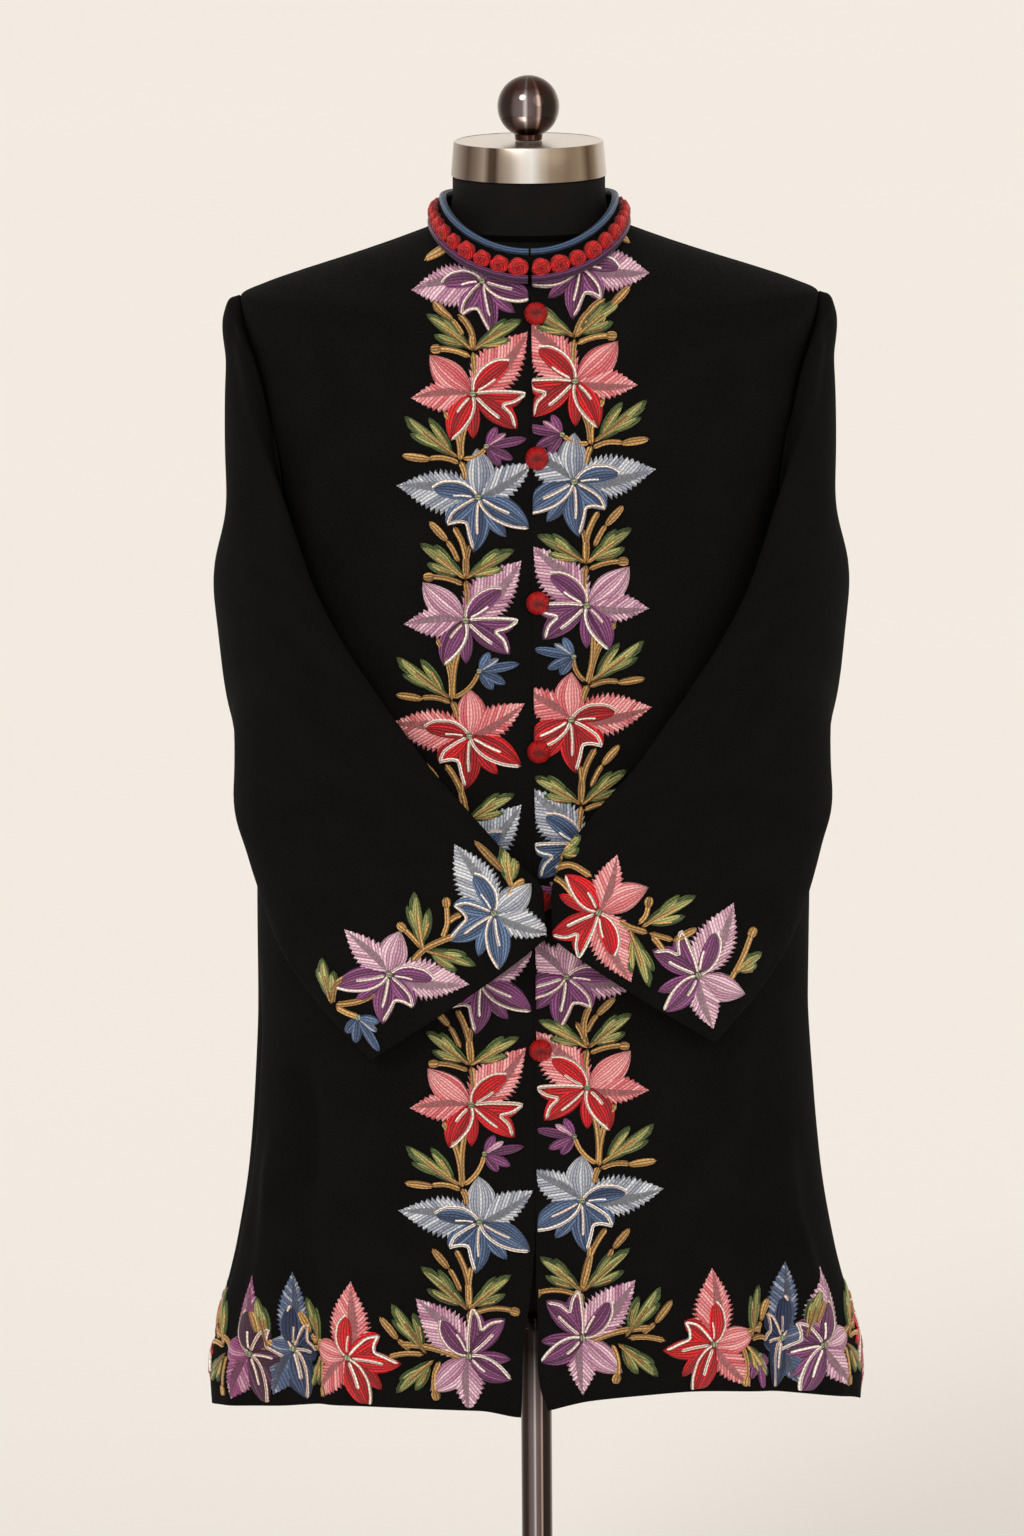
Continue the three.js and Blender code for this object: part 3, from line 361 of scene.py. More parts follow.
def neck(angle, from_centre=0.0):
    """Turn and height of the neck's edge: angle 0 centre front, 90 side, 180 centre back."""
    c = np.cos(np.radians(angle))
    drop = np.where(c > 0, NECK_FRONT_DROP * np.maximum(c, 0) ** 1.55, NECK_BACK_DROP * c * c)
    z = NECK_SIDE_HEIGHT - drop
    x = np.maximum(NECK_HALF_WIDTH * np.sin(np.radians(angle)), from_centre)
    faces_front = np.asarray(angle) <= 90
    seam = turn_at_y(SEAM_GAP / 2, z, faces_front)
    turn = turn_at_x(x, z, faces_front)
    return np.where(faces_front, np.minimum(turn, seam), np.maximum(turn, seam)), z


def hem(turn):
    """Height of the hem at a turn."""
    return curve(HEM["turn"], HEM["z"], turn)


def above_side_seam(up):
    """Share of the way from the underarm to a panel's top."""
    return np.clip((up - SIDE_SEAM_SHARE) / (1 - SIDE_SEAM_SHARE), 0, 1)


def front_place(side_name, across, up):
    """Turn and height on a front panel: across 0 centre front to 1 side, up 0 hem to 1 shoulder.
    Below the underarm each row is straight from the front edge to the side seam, with the hem's
    curve let in; above it, from the centre front and neck to the armhole."""
    side = SIDES[side_name]
    hem_front, hem_side = hem(2 * side), hem(90 * side)
    rise = np.clip(up / SIDE_SEAM_SHARE, 0, 1)
    inner_z, outer_z = mix(hem_front, UNDERARM_HEIGHT, rise), mix(hem_side, UNDERARM_HEIGHT, rise)
    low_inner = turn_at_x(curve(FRONT_EDGE["z"], FRONT_EDGE[side_name], inner_z), inner_z, True)
    low_outer = turn_at_y(SEAM_GAP / 2, outer_z, True)
    rows = np.arange(len(FRONT_ROWS["neck_turn"]))
    row = rows[-1] * above_side_seam(up)
    centre, neck_turn, arm_turn = (
        curve(rows, FRONT_ROWS[c], row) for c in ("centre_height", "neck_turn", "armhole_turn"))
    neck_edge, neck_z = neck(neck_turn, SEAM_GAP / 2)
    high_inner = np.where(neck_turn > 0, neck_edge, turn_at_x(SEAM_GAP / 2, centre, True))
    high_inner_z = np.where(neck_turn > 0, neck_z, centre)
    high_outer, high_outer_z = armhole(arm_turn)
    is_low = up < SIDE_SEAM_SHARE
    inner, outer = np.where(is_low, low_inner, high_inner), np.where(is_low, low_outer, high_outer)
    z0, z1 = np.where(is_low, inner_z, high_inner_z), np.where(is_low, outer_z, high_outer_z)
    turn = side * mix(inner, outer, across)
    sag = hem(turn) - mix(hem_front, hem_side, across)
    return turn, mix(z0, z1, across) + sag * np.clip(1 - up / SIDE_SEAM_SHARE, 0, 1) ** 2


def back_place(across, up):
    """Turn and height on the back: the straight blend between its edges, with what the hem and the
    shoulders depart from it let in near each."""
    neck_share = NECK_HALF_WIDTH / body_size("half_width", SHOULDER_TIP_HEIGHT)

    def top(share):
        neck_turn, neck_z = neck(180 - 90 * np.minimum(share / neck_share, 1))
        z = mix(NECK_SIDE_HEIGHT, SHOULDER_TIP_HEIGHT, (share - neck_share) / (1 - neck_share))
        on_neck = share < neck_share
        return (np.where(on_neck, neck_turn, turn_at_y(SEAM_GAP / 2, z, False)),
                np.where(on_neck, neck_z, z))

    share = np.abs(2 * across - 1)
    side_z = mix(hem(90), UNDERARM_HEIGHT, np.clip(up / SIDE_SEAM_SHARE, 0, 1))
    arm_turn, arm_z = armhole(270 - 180 * above_side_seam(up))
    is_low = up < SIDE_SEAM_SHARE
    outer = (np.where(is_low, turn_at_y(SEAM_GAP / 2, side_z, False), arm_turn),
             np.where(is_low, side_z, arm_z))
    over, tip, centre = top(share), top(np.array(1.0)), top(np.array(0.0))
    hem_turn = mix(180, 90, share)
    hems = ((hem_turn, 180, 90), (hem(hem_turn), hem(180), hem(90)))
    centre_line = (180, mix(hem(180), centre[1], up))
    turn, z = (
        mix(centre_line[k], outer[k], share)
        + (hems[k][0] - mix(hems[k][1], hems[k][2], share)) * (1 - up) ** 2
        + (over[k] - mix(centre[k], tip[k], share)) * up**5
        for k in (0, 1))
    return np.where(across < 0.5, 1, -1) * turn, z


# ---------------------------------------------------------------- sleeves

def clear_of_body(place, clearance):
    """Points pushed straight out from the pole's axis where they stand less than clearance off the
    inside of the body cloth."""
    z = np.minimum(place[..., 2], SHOULDER_TIP_HEIGHT)
    half = body_size("half_width", z)
    depth = section_depth(z, place[..., 1] < 0)
    turn = np.degrees(np.arctan2(place[..., 0] / half, -place[..., 1] / depth))
    least = plan_point(turn, z, clearance)
    need = np.hypot(least[..., 0], least[..., 1])
    reach = np.hypot(place[..., 0], place[..., 1])
    push = np.where((reach < need) & (place[..., 2] <= SHOULDER_TIP_HEIGHT), need / reach, 1)
    return place * np.stack([push, push, np.ones_like(push)], -1)


def sleeve_inside(side_name, angle, station):
    """Place on a sleeve's inner wall, on the wearer's left. Each row of the table is a flattened
    ring: turn and lift run as the cosine of the angle from fore to aft fold, and swell to the face's
    own height and lift as its sine; between rows and from the armhole they run on curve()."""
    shape = np.broadcast(angle, station).shape
    angle, station = (np.broadcast_to(v, shape).ravel().astype(float) for v in (angle, station))
    rows = table(SLEEVE_COLUMNS, *UPPER_SLEEVE, *FOREARM[side_name])
    c, s = np.cos(np.radians(angle)), np.sin(np.radians(angle))
    share, swing = (1 + c) / 2, np.abs(s)
    column = {name: values[:, None] for name, values in rows.items()}
    face_z = np.where(s > 0, column["outer_z"], column["inner_z"])
    face_lift = np.where(s > 0, column["outer_lift"], column["inner_lift"])
    middle = (column["fore_z"] + column["aft_z"]) / 2
    turns = mix(column["aft_turn"], column["fore_turn"], share)
    heights = mix(column["aft_z"], column["fore_z"], share) + (face_z - middle) * swing
    lifts = mix(mix(column["aft_lift"], column["fore_lift"], share), face_lift, swing)
    arm_turn, arm_z = armhole(angle)
    keys = np.arange(len(middle) + 1)
    at_seam = np.full(angle.size, SLEEVE_SEAM_LIFT)
    turn, z, lift = (
        curve(keys, np.vstack([first, rest]), station)
        for first, rest in ((arm_turn, turns), (arm_z, heights), (at_seam, lifts)))
    place = plan_point(turn, np.minimum(z, SHOULDER_TIP_HEIGHT), lift)
    place[:, 2] = z
    return place.reshape(*shape, 3)


def sleeve_wall(side_name, angle, station, depth):
    """Place and outward normal on a sleeve's wall (on the wearer's left), depth above its inside:
    central differences give the normal, the creases ride on it, and the body cloth pushes it out."""
    def place(a, s):
        return sleeve_inside(side_name, a, np.clip(s, 0, CUFF_STATION))

    down = place(angle, station + 0.04) - place(angle, station - 0.04)
    around = place(angle + 1, station) - place(angle - 1, station)
    normal = unit(np.cross(down, around))
    crease = strokes(np.mod(angle + 90, 360) - 90, station, SLEEVE_CREASES, 1.0, 27.0)
    crease = crease * np.clip(station / 1.5, 0, 1) * np.clip((CUFF_STATION - station) / 1.2, 0, 1)
    at = place(angle, station) + normal * (depth + crease)[..., None]
    clearance = SLEEVE_CLEARANCE + np.minimum(CLOTH, station) * (depth <= 0)
    return clear_of_body(at, np.where(station < 0.05, SLEEVE_SEAM_LIFT, clearance)), normal


def mirrored(points, side):
    """Points with x turned to the wearer's left (1) or right (-1)."""
    return points * np.array([side, 1, 1])


# ---------------------------------------------------------------- meshes

def make_mesh(name, points, quads, triangles=(), uv=None, material_index=None, shade=None):
    """A mesh object from points in millimetres, faces as rows of point numbers, and per-corner uv in
    metres. Corners are laid out quads first, then triangles."""
    quads = np.asarray(quads, np.int32).reshape(-1, 4)
    triangles = np.asarray(triangles, np.int32).reshape(-1, 3)
    corners = np.concatenate([quads.ravel(), triangles.ravel()])
    starts = np.append(np.arange(len(quads)) * 4, 4 * len(quads) + np.arange(len(triangles)) * 3)
    mesh = bpy.data.meshes.new(name)
    mesh.vertices.add(len(points))
    mesh.vertices.foreach_set("co", (np.asarray(points) * MM).astype(np.float32).ravel())
    mesh.loops.add(len(corners))
    mesh.loops.foreach_set("vertex_index", corners)
    mesh.polygons.add(len(starts))
    mesh.polygons.foreach_set("loop_start", starts.astype(np.int32))
    if material_index is not None:
        mesh.polygons.foreach_set("material_index", np.asarray(material_index, np.int32))
    mesh.update(calc_edges=True)
    mesh.polygons.foreach_set("use_smooth", np.ones(len(starts), bool))
    if uv is not None:
        layer = mesh.uv_layers.new(name="UVMap")
        layer.data.foreach_set("uv", np.asarray(uv, np.float32).ravel())
    if shade is not None:
        attribute = mesh.attributes.new("shade", "FLOAT", "POINT")
        attribute.data.foreach_set("value", np.asarray(shade, np.float32).ravel())
    piece = bpy.data.objects.new(name, mesh)
    bpy.context.scene.collection.objects.link(piece)
    return piece


def close_up(piece, merge=True):
    """Merges the piece's doubled points, where asked, and turns its faces outwards."""
    mesh = bmesh.new()
    mesh.from_mesh(piece.data)
    if merge:
        bmesh.ops.remove_doubles(mesh, verts=mesh.verts, dist=MERGE_DISTANCE)
        bmesh.ops.dissolve_degenerate(mesh, edges=mesh.edges, dist=MERGE_DISTANCE)
    bmesh.ops.recalc_face_normals(mesh, faces=mesh.faces)
    mesh.to_mesh(piece.data)
    mesh.free()
    return piece


def ring_faces(count, sides):
    """Quads between closed rings of points laid one after another, and the fans that close the first
    and the last ring on the two poles laid after them."""
    i, j = np.meshgrid(np.arange(count - 1) * sides, np.arange(sides), indexing="ij")
    i, j = i.ravel(), j.ravel()
    k = (j + 1) % sides
    quads = np.stack([i + j, i + k, i + sides + k, i + sides + j], -1)
    around = np.arange(sides)
    beside, last, pole = (around + 1) % sides, (count - 1) * sides, np.full(sides, count * sides)
    fans = np.concatenate([np.stack([pole, beside, around], -1),
                           np.stack([pole + 1, last + around, last + beside], -1)])
    return quads, fans


def wall_piece(name, inner, outer, uv, is_ring):
    """A closed wall between two grids, its rim rounded by a middle row that stands out by a third of
    the wall. A ring is joined round its columns; uv has one more column than a ring's points."""
    rows, columns = inner.shape[:2]
    spans = columns if is_ring else columns - 1
    count = rows * columns
    i, j = np.meshgrid(np.arange(rows - 1), np.arange(spans), indexing="ij")
    i, j = i.ravel(), j.ravel()

    def point(layer, a, b):
        return layer * count + a * columns + b % columns

    def texel(a, b):
        return uv[a, np.minimum(b, uv.shape[1] - 1)]

    corners = ((i, j), (i + 1, j), (i + 1, j + 1), (i, j + 1))
    turned = (corners[0], *corners[:0:-1])
    quads = [np.stack([point(layer, *corner) for corner in way], -1)
             for layer, way in enumerate((corners, turned))]
    texels = [np.stack([texel(*corner) for corner in way], 1) for way in (corners, turned)]
    points = [inner.reshape(-1, 3), outer.reshape(-1, 3)]
    total = 2 * count

    def rim(a, b, a_in, b_in):
        """The rim along grid places (a, b), standing out from the places (a_in, b_in) inside it."""
        nonlocal total
        middle = (inner[a, b % columns] + outer[a, b % columns]) / 2
        outward = unit(middle - (inner[a_in, b_in % columns] + outer[a_in, b_in % columns]) / 2)
        thick = np.linalg.norm(outer[a, b % columns] - inner[a, b % columns], axis=-1, keepdims=True)
        points.append(middle + outward * thick * 0.35)
        number = total + np.arange(len(middle))
        total += len(middle)
        low, high = point(0, a, b), point(1, a, b)
        for first, second in ((low, number), (number, high)):
            quads.append(np.stack([first[:-1], first[1:], second[1:], second[:-1]], -1))
            texels.append(np.stack([texel(a[:-1], b[:-1]), texel(a[1:], b[1:])] * 2, 1)[:, [0, 1, 3, 2]])

    if is_ring:
        around = np.arange(columns + 1)
        zero, last = np.zeros(columns + 1, int), np.full(columns + 1, rows - 1)
        rim(zero, around, zero + 1, around)
        rim(last, around[::-1], last - 1, around[::-1])
    else:
        a = np.concatenate([np.zeros(columns - 1, int), np.arange(rows - 1), np.full(columns - 1, rows - 1),
                            np.arange(rows - 1, -1, -1)])
        b = np.concatenate([np.arange(columns - 1), np.full(rows - 1, columns - 1),
                            np.arange(columns - 1, 0, -1), np.zeros(rows, int)])
        rim(a, b, np.clip(a, 1, rows - 2), np.clip(b, 1, columns - 2))
    return close_up(make_mesh(name, np.concatenate(points), np.concatenate(quads), uv=np.concatenate(texels)))


def turned_piece(name, profile, sides=96):
    """A closed solid of revolution about the pole's axis: (radius, height) pairs carried round a full
    turn. It starts and ends in poles of radius 0, or else its last pair is joined to its first."""
    profile = np.array(profile, float)
    has_poles = profile[0, 0] == 0
    rings = profile[1:-1] if has_poles else profile
    angle = np.arange(sides) * 2 * np.pi / sides
    points = np.stack([rings[:, None, 0] * np.sin(angle), -rings[:, None, 0] * np.cos(angle),
                       rings[:, None, 1] + 0 * angle], -1).reshape(-1, 3)
    if has_poles:
        quads, fans = ring_faces(len(rings), sides)
        points = np.vstack([points, (0, 0, profile[0, 1]), (0, 0, profile[-1, 1])])
    else:
        quads, fans = ring_faces(len(rings) + 1, sides)[0] % len(points), ()
    piece = close_up(make_mesh(name, points, quads, fans))
    piece.data.set_sharp_from_angle(angle=math.radians(35))
    return piece


def cord_piece(name, path, radii, sides=14):
    """A round cord along a path: at each point a ring of the given radius, closed by a fan at each
    end. Its uv runs along the path and round the ring."""
    ahead = unit(np.gradient(path, axis=0))
    side = unit(np.cross((0, 0, 1), ahead))
    up = np.cross(ahead, side)
    a = (np.arange(sides) + 0.5) * 2 * np.pi / sides
    radii = np.broadcast_to(radii, len(path))[:, None, None]
    rings = (path[:, None] + side[:, None] * radii * np.cos(a)[:, None]
             + up[:, None] * radii * np.sin(a)[:, None])
    quads, fans = ring_faces(len(path), sides)
    run, girth = distance_along(path), 2 * np.pi * float(np.median(radii)) / sides
    i, j = np.divmod(quads[:, 0], sides)
    uv = np.stack([np.stack([run[a_], b_ * girth], -1)
                   for a_, b_ in ((i, j), (i, j + 1), (i + 1, j + 1), (i + 1, j))], 1).reshape(-1, 2) * MM
    points = np.vstack([rings.reshape(-1, 3), path[:1], path[-1:]])
    return close_up(make_mesh(name, points, quads, fans, uv=np.vstack([uv, np.zeros((fans.size, 2))])))


def surface_area(points):
    """Area of a grid of points, in square metres, as half the cross products of its cells' diagonals."""
    first = points[1:, 1:] - points[:-1, :-1]
    second = points[1:, :-1] - points[:-1, 1:]
    return float(np.linalg.norm(np.cross(first, second), axis=-1).sum() / 2) * MM * MM


def grid(rows, columns):
    """Shares (up, across) of a grid's points, each 0 to 1."""
    return np.meshgrid(np.linspace(0, 1, rows + 1), np.linspace(0, 1, columns + 1), indexing="ij")


# ---------------------------------------------------------------- materials

def rgb(hex_colour):
    """Linear colour of a six-figure sRGB colour."""
    values = [int(hex_colour[i:i + 2], 16) / 255 for i in (0, 2, 4)]
    return tuple(v / 12.92 if v <= 0.04045 else ((v + 0.055) / 1.055) ** 2.4 for v in values) + (1.0,)


class Nodes:
    """Short calls for adding nodes and links to a node tree."""

    def __init__(self, tree):
        self.tree = tree
        self.column = 0

    def add(self, kind, inputs=(), **settings):
        node = self.tree.nodes.new(kind)
        self.column += 1
        node.location = (180 * (self.column % 8), -220 * (self.column // 8))
        for name, value in settings.items():
            setattr(node, name, value)
        for key, value in dict(inputs).items():
            self.put(node.inputs[key], value)
        return node

    def put(self, socket, value):
        if isinstance(value, bpy.types.NodeSocket):
            self.tree.links.new(value, socket)
        else:
            socket.default_value = value

    def math(self, operation, a, b=0.0, c=0.0):
        return self.add("ShaderNodeMath", {0: a, 1: b, 2: c}, operation=operation).outputs[0]

    def mix(self, share, a, b, blend="MIX"):
        node = self.add("ShaderNodeMix", data_type="RGBA", blend_type=blend)
        for socket, value in ((node.inputs[0], share), (node.inputs[6], a), (node.inputs[7], b)):
            self.put(socket, value)
        return node.outputs[2]

    def noise(self, place, scale, detail):
        return self.add("ShaderNodeTexNoise", {"Vector": place, "Scale": scale, "Detail": detail}).outputs[0]

    def split(self, vector):
        return self.add("ShaderNodeSeparateXYZ", {0: vector}).outputs

    def between(self, value, low, high):
        """Share of a value's way from low to high, kept within 0 and 1."""
        return self.add("ShaderNodeMapRange", {0: value, 1: low, 2: high}, clamp=True).outputs[0]

    def bump(self, height, strength, distance):
        settings = {"Height": height, "Strength": strength, "Distance": distance}
        return self.add("ShaderNodeBump", settings).outputs[0]


def make_group(name, inputs, outputs):
    """A shader node group with named inputs and number outputs."""
    tree = bpy.data.node_groups.new(name, "ShaderNodeTree")
    for socket, kind, value in inputs:
        made = tree.interface.new_socket(socket, in_out="INPUT", socket_type=kind)
        if value is not None:
            made.default_value = value
    for socket in outputs:
        tree.interface.new_socket(socket, in_out="OUTPUT", socket_type="NodeSocketFloat")
    given, made = tree.nodes.new("NodeGroupInput"), tree.nodes.new("NodeGroupOutput")
    return Nodes(tree), given.outputs, made.inputs


def chain_group():
    """Rows of chain stitch. Across is in rows and along in links: each row is a rounded ridge, cut by
    V-shaped links, with its own tint from noise on the row's number, and fibres along it."""
    n, given, made = make_group(
        "chain stitch",
        [("UV", "NodeSocketVector", None), ("Row", "NodeSocketFloat", 0.0013),
         ("Link", "NodeSocketFloat", 0.0028)],
        ["Height", "Tint"])
    along, across, _ = n.split(given["UV"])
    rows = n.math("DIVIDE", across, given["Row"])
    wander = n.noise(given["UV"], 160.0, 1.0)
    rows = n.math("ADD", rows, n.math("MULTIPLY", n.math("SUBTRACT", wander, 0.5), 0.5))
    number = n.math("FLOOR", rows)
    within = n.math("ABSOLUTE", n.math("SUBTRACT", n.math("SUBTRACT", rows, number), 0.5))
    ridge = n.math("SUBTRACT", 1.0, n.math("MULTIPLY", n.math("MULTIPLY", within, within), 4.0))
    row_noise = n.add("ShaderNodeTexWhiteNoise", {"W": number}, noise_dimensions="1D").outputs[0]
    links = n.math("ADD", n.math("DIVIDE", along, given["Link"]),
                   n.math("ADD", n.math("MULTIPLY", within, 1.1), row_noise))
    phase = n.math("ABSOLUTE", n.math("SUBTRACT", n.math("FRACT", links), 0.5))
    bead = n.math("SMOOTH_MIN", n.math("MULTIPLY", phase, 5.0), 1.0, 0.4)
    n.put(made["Height"], n.math("MULTIPLY", ridge, n.math("MULTIPLY_ADD", bead, 0.45, 0.55)))
    stretched = n.add("ShaderNodeMapping", {"Vector": given["UV"], "Scale": (300.0, 3500.0, 1.0)})
    fibre = n.noise(stretched.outputs[0], 1.0, 2.0)
    tint = n.math("MULTIPLY_ADD", row_noise, 0.7, n.math("MULTIPLY", fibre, 0.9))
    n.put(made["Tint"], n.math("SUBTRACT", tint, 0.3))


def wool_group():
    """Fine plain weave of fulled wool: the product of two waves, warp and weft, blurred by noise,
    with lint and slow unevenness in its tint."""
    n, given, made = make_group(
        "fulled weave", [("UV", "NodeSocketVector", None), ("Thread", "NodeSocketFloat", 0.0011)],
        ["Height", "Tint"])
    wobble = n.math("MULTIPLY", n.noise(given["UV"], 220.0, 2.0), 0.9)
    warp, weft = (
        n.math("SINE", n.math("MULTIPLY", n.math("ADD", n.math("DIVIDE", way, given["Thread"]), wobble),
                              2 * math.pi))
        for way in n.split(given["UV"])[:2])
    weave = n.math("MULTIPLY", warp, weft)
    nap = n.noise(given["UV"], 700.0, 5.0)
    n.put(made["Height"], n.math("ADD", n.math("MULTIPLY", weave, 0.35), nap))
    slow = n.noise(given["UV"], 26.0, 5.0)
    lint = n.add("ShaderNodeTexVoronoi", {"Vector": given["UV"], "Scale": 95.0}).outputs[0]
    tint = n.math("ADD", n.math("MULTIPLY", slow, 0.4), n.math("MULTIPLY", weave, 0.12))
    tint = n.math("ADD", tint, n.math("MULTIPLY_ADD", nap, 0.9, -0.3))
    speck = n.math("MULTIPLY", n.math("LESS_THAN", lint, 0.045), 0.7)
    n.put(made["Tint"], n.math("ADD", tint, speck))


def new_material(name, **principled):
    """A material with its Principled shader's own constants set: its nodes and its shader's sockets."""
    material = bpy.data.materials.new(name)
    material.use_nodes = True
    sockets = material.node_tree.nodes["Principled BSDF"].inputs
    for key, value in principled.items():
        sockets[key.replace("_", " ")].default_value = value
    return Nodes(material.node_tree), sockets


def place_group(n, name, **values):
    """A node group on a piece's own uv, with its inputs set."""
    uv = n.add("ShaderNodeUVMap", uv_map="UVMap").outputs[0]
    return n.add("ShaderNodeGroup", {"UV": uv, **values}, node_tree=bpy.data.node_groups[name]).outputs


def thread_material(name, dark, light, row, link, roughness=0.4, painted_groove_shade=1.15):
    """Wool or silk thread in chain stitch between two linear colours: painted shade in the grooves and
    painted light on the ridges, and in the thread itself dark at a petal's foot and light towards its tip,
    each row a little different. The groove shade is how much darker the painted shade makes the grooves than
    the ridges."""
    n, shader = new_material(name, Roughness=roughness, Sheen_Weight=0.04, Sheen_Roughness=0.4,
                             Specular_IOR_Level=0.45)
    chain = place_group(n, "chain stitch", Row=row, Link=link)
    shade = n.add("ShaderNodeAttribute", attribute_name="shade").outputs["Fac"]
    share = n.math("ADD", chain["Tint"], n.math("MULTIPLY_ADD", shade, 0.26, -0.1))
    # painted shade: the grooves between rows and the joints between links are darkened, the ridges lightened
    painted_groove_factor = n.math("MULTIPLY_ADD", chain["Height"], painted_groove_shade, 1.2 - 0.87 * painted_groove_shade)
    painted_groove_grey = n.add("ShaderNodeCombineColor", {0: painted_groove_factor, 1: painted_groove_factor, 2: painted_groove_factor}).outputs[0]
    n.put(shader["Base Color"], n.mix(1.0, n.mix(share, dark, light), painted_groove_grey, "MULTIPLY"))
    n.put(shader["Normal"], n.bump(chain["Height"], 1.0, 0.0008))


def wool_material(name, dark, light, thread):
    """Fulled black wool: a fine weave under a soft nap, with a little sheen."""
    n, shader = new_material(name, Roughness=0.95, Sheen_Weight=0.02, Sheen_Roughness=0.4,
                             Sheen_Tint=rgb("6b625c"), Specular_IOR_Level=0.05)
    weave = place_group(n, "fulled weave", Thread=thread)
    n.put(shader["Base Color"], n.mix(weave["Tint"], dark, light))
    n.put(shader["Normal"], n.bump(weave["Height"], 0.5, 0.0004))


def jersey_material(name):
    """Fine black jersey on Object coordinates: tiny loops, and a slow unevenness in its black."""
    n, shader = new_material(name, Roughness=0.8, Sheen_Weight=0.02, Sheen_Roughness=0.5,
                             Specular_IOR_Level=0.08)
    place = n.add("ShaderNodeTexCoord").outputs["Object"]
    loops = n.noise(place, 1500.0, 2.0)
    n.put(shader["Base Color"], n.mix(n.noise(place, 30.0, 4.0), rgb("070606"), rgb("1b1917")))
    n.put(shader["Normal"], n.bump(loops, 0.35, 0.0004))


def painted_reflection_ramp(n, place, bands):
    """Painted reflections: colour round the pole's axis from a row of (degrees, colour), the back like the
    front.
    """
    x, y, _ = n.split(place)
    turn = n.math("ARCTAN2", x, n.math("ABSOLUTE", y))
    ramp = n.add("ShaderNodeValToRGB", {0: n.math("MULTIPLY_ADD", turn, 1 / math.pi, 0.5)})
    elements = ramp.color_ramp.elements
    for element, (degree, colour) in ((elements[0], bands[0]), (elements[1], bands[-1])):
        element.position, element.color = degree / 180 + 0.5, rgb(colour)
    for degree, colour in bands[1:-1]:
        elements.new(degree / 180 + 0.5).color = rgb(colour)
    return ramp.outputs[0]


def metal_material(name, bands, roughness, grain_scale, ball=None, painted_shade_heights=None):
    """Metal whose tone changes in soft bands round it, painted reflections of the room it mirrors, with a
    brushed grain in its colour, roughness and bump, and a few smudges. Level faces are pale, a painted
    highlight. ball is the height of a ball's middle and its radius, where painted reflections turn the tone
    brown above and below; the last argument is a pair of heights between which painted shade takes the tone
    to near black, as inside the skirt."""
    n, shader = new_material(name, Metallic=1.0)
    place = n.add("ShaderNodeTexCoord").outputs["Object"]
    stretched = n.add("ShaderNodeMapping", {"Vector": place, "Scale": grain_scale})
    grain = n.noise(stretched.outputs[0], 6.0, 5.0)
    smudge = n.noise(place, 28.0, 3.0)
    # the bands are painted reflections; the grain mixed into them is the metal's own
    grain_and_painted_light = n.mix(n.math("MULTIPLY", grain, 0.3), painted_reflection_ramp(n, place, bands), rgb("6a5f58"))
    height = n.split(place)[2]
    # painted shade: the tone falls to near black between the given heights
    if painted_shade_heights:
        share = n.between(height, painted_shade_heights[0] * MM, painted_shade_heights[1] * MM)
        grain_and_painted_light = n.mix(n.math("MULTIPLY", share, 0.93), grain_and_painted_light, rgb("0c0706"))
    # painted reflection: the tone turns brown above and below the ball's middle
    if ball:
        away = n.math("DIVIDE", n.math("SUBTRACT", height, ball[0] * MM), ball[1] * MM)
        away = n.math("ADD", n.math("ABSOLUTE", away), n.math("MULTIPLY_ADD", smudge, 0.3, -0.15))
        grain_and_painted_light = n.mix(n.math("MULTIPLY", n.between(away, 0.32, 0.6), 0.85), grain_and_painted_light, rgb("3b2119"))
    else:
        # painted highlight: faces that look straight up are pale
        painted_top_highlight_mask = n.split(n.add("ShaderNodeNewGeometry").outputs["Normal"])[2]
        grain_and_painted_light = n.mix(n.math("GREATER_THAN", painted_top_highlight_mask, 0.85), grain_and_painted_light, rgb("e4ddd6"))
    n.put(shader["Base Color"], grain_and_painted_light)
    rough = n.math("MULTIPLY_ADD", n.math("ADD", grain, smudge), roughness * 0.5, roughness * 0.5)
    n.put(shader["Roughness"], rough)
    n.put(shader["Normal"], n.bump(grain, 0.3, 0.00004))


def paint_material(name, dark, light, shine):
    """Powder coat on steel: fine orange peel and slightly uneven gloss."""
    n, shader = new_material(name, Specular_IOR_Level=shine)
    place = n.add("ShaderNodeTexCoord").outputs["Object"]
    dust = n.noise(place, 14.0, 6.0)
    n.put(shader["Base Color"], n.mix(dust, rgb(dark), rgb(light)))
    n.put(shader["Roughness"], n.math("MULTIPLY_ADD", dust, 0.25, 0.35))
    n.put(shader["Normal"], n.bump(n.noise(place, 900.0, 2.0), 0.25, 0.0002))


THREADS = {
    # name: (dark colour, light colour)
    "pink": ("c21d34", "ffb6b8"),
    "red": ("74020a", "f40d1d"),
    "sky": ("46577a", "e0e4ec"),
    "blue": ("16264a", "6b86b0"),
    "lilac": ("8e3a72", "f8d2e2"),
    "plum": ("390a2c", "9c5390"),
    "cream": ("d8beb0", "fff8f0"),
    "leaf": ("414c1d", "bdb873"),
    "moss": ("16280e", "5c7238"),
    "gold": ("624018", "dbaa66"),
    "knot": ("5d6a4c", "a9b08e"),
}
# Loosely spun threads, whose rows stand less apart and get less painted shade in the grooves between them.
SOFT_THREADS = ("pink", "sky", "lilac", "leaf")
FAMILIES = {
    # flower family: (light petals, dark petals, material slot)
    "red": ("pink", "red", "red_thread"),
    "blue": ("sky", "blue", "blue_thread"),
    "purple": ("lilac", "plum", "purple_thread"),
}


# ---------------------------------------------------------------- embroidery

# A patch's section: seven places on its arch, by angle, and one under its middle line.
RING_ANGLE = np.radians([0, 32, 61, 90, 119, 148, 180])
RING = len(RING_ANGLE) + 1
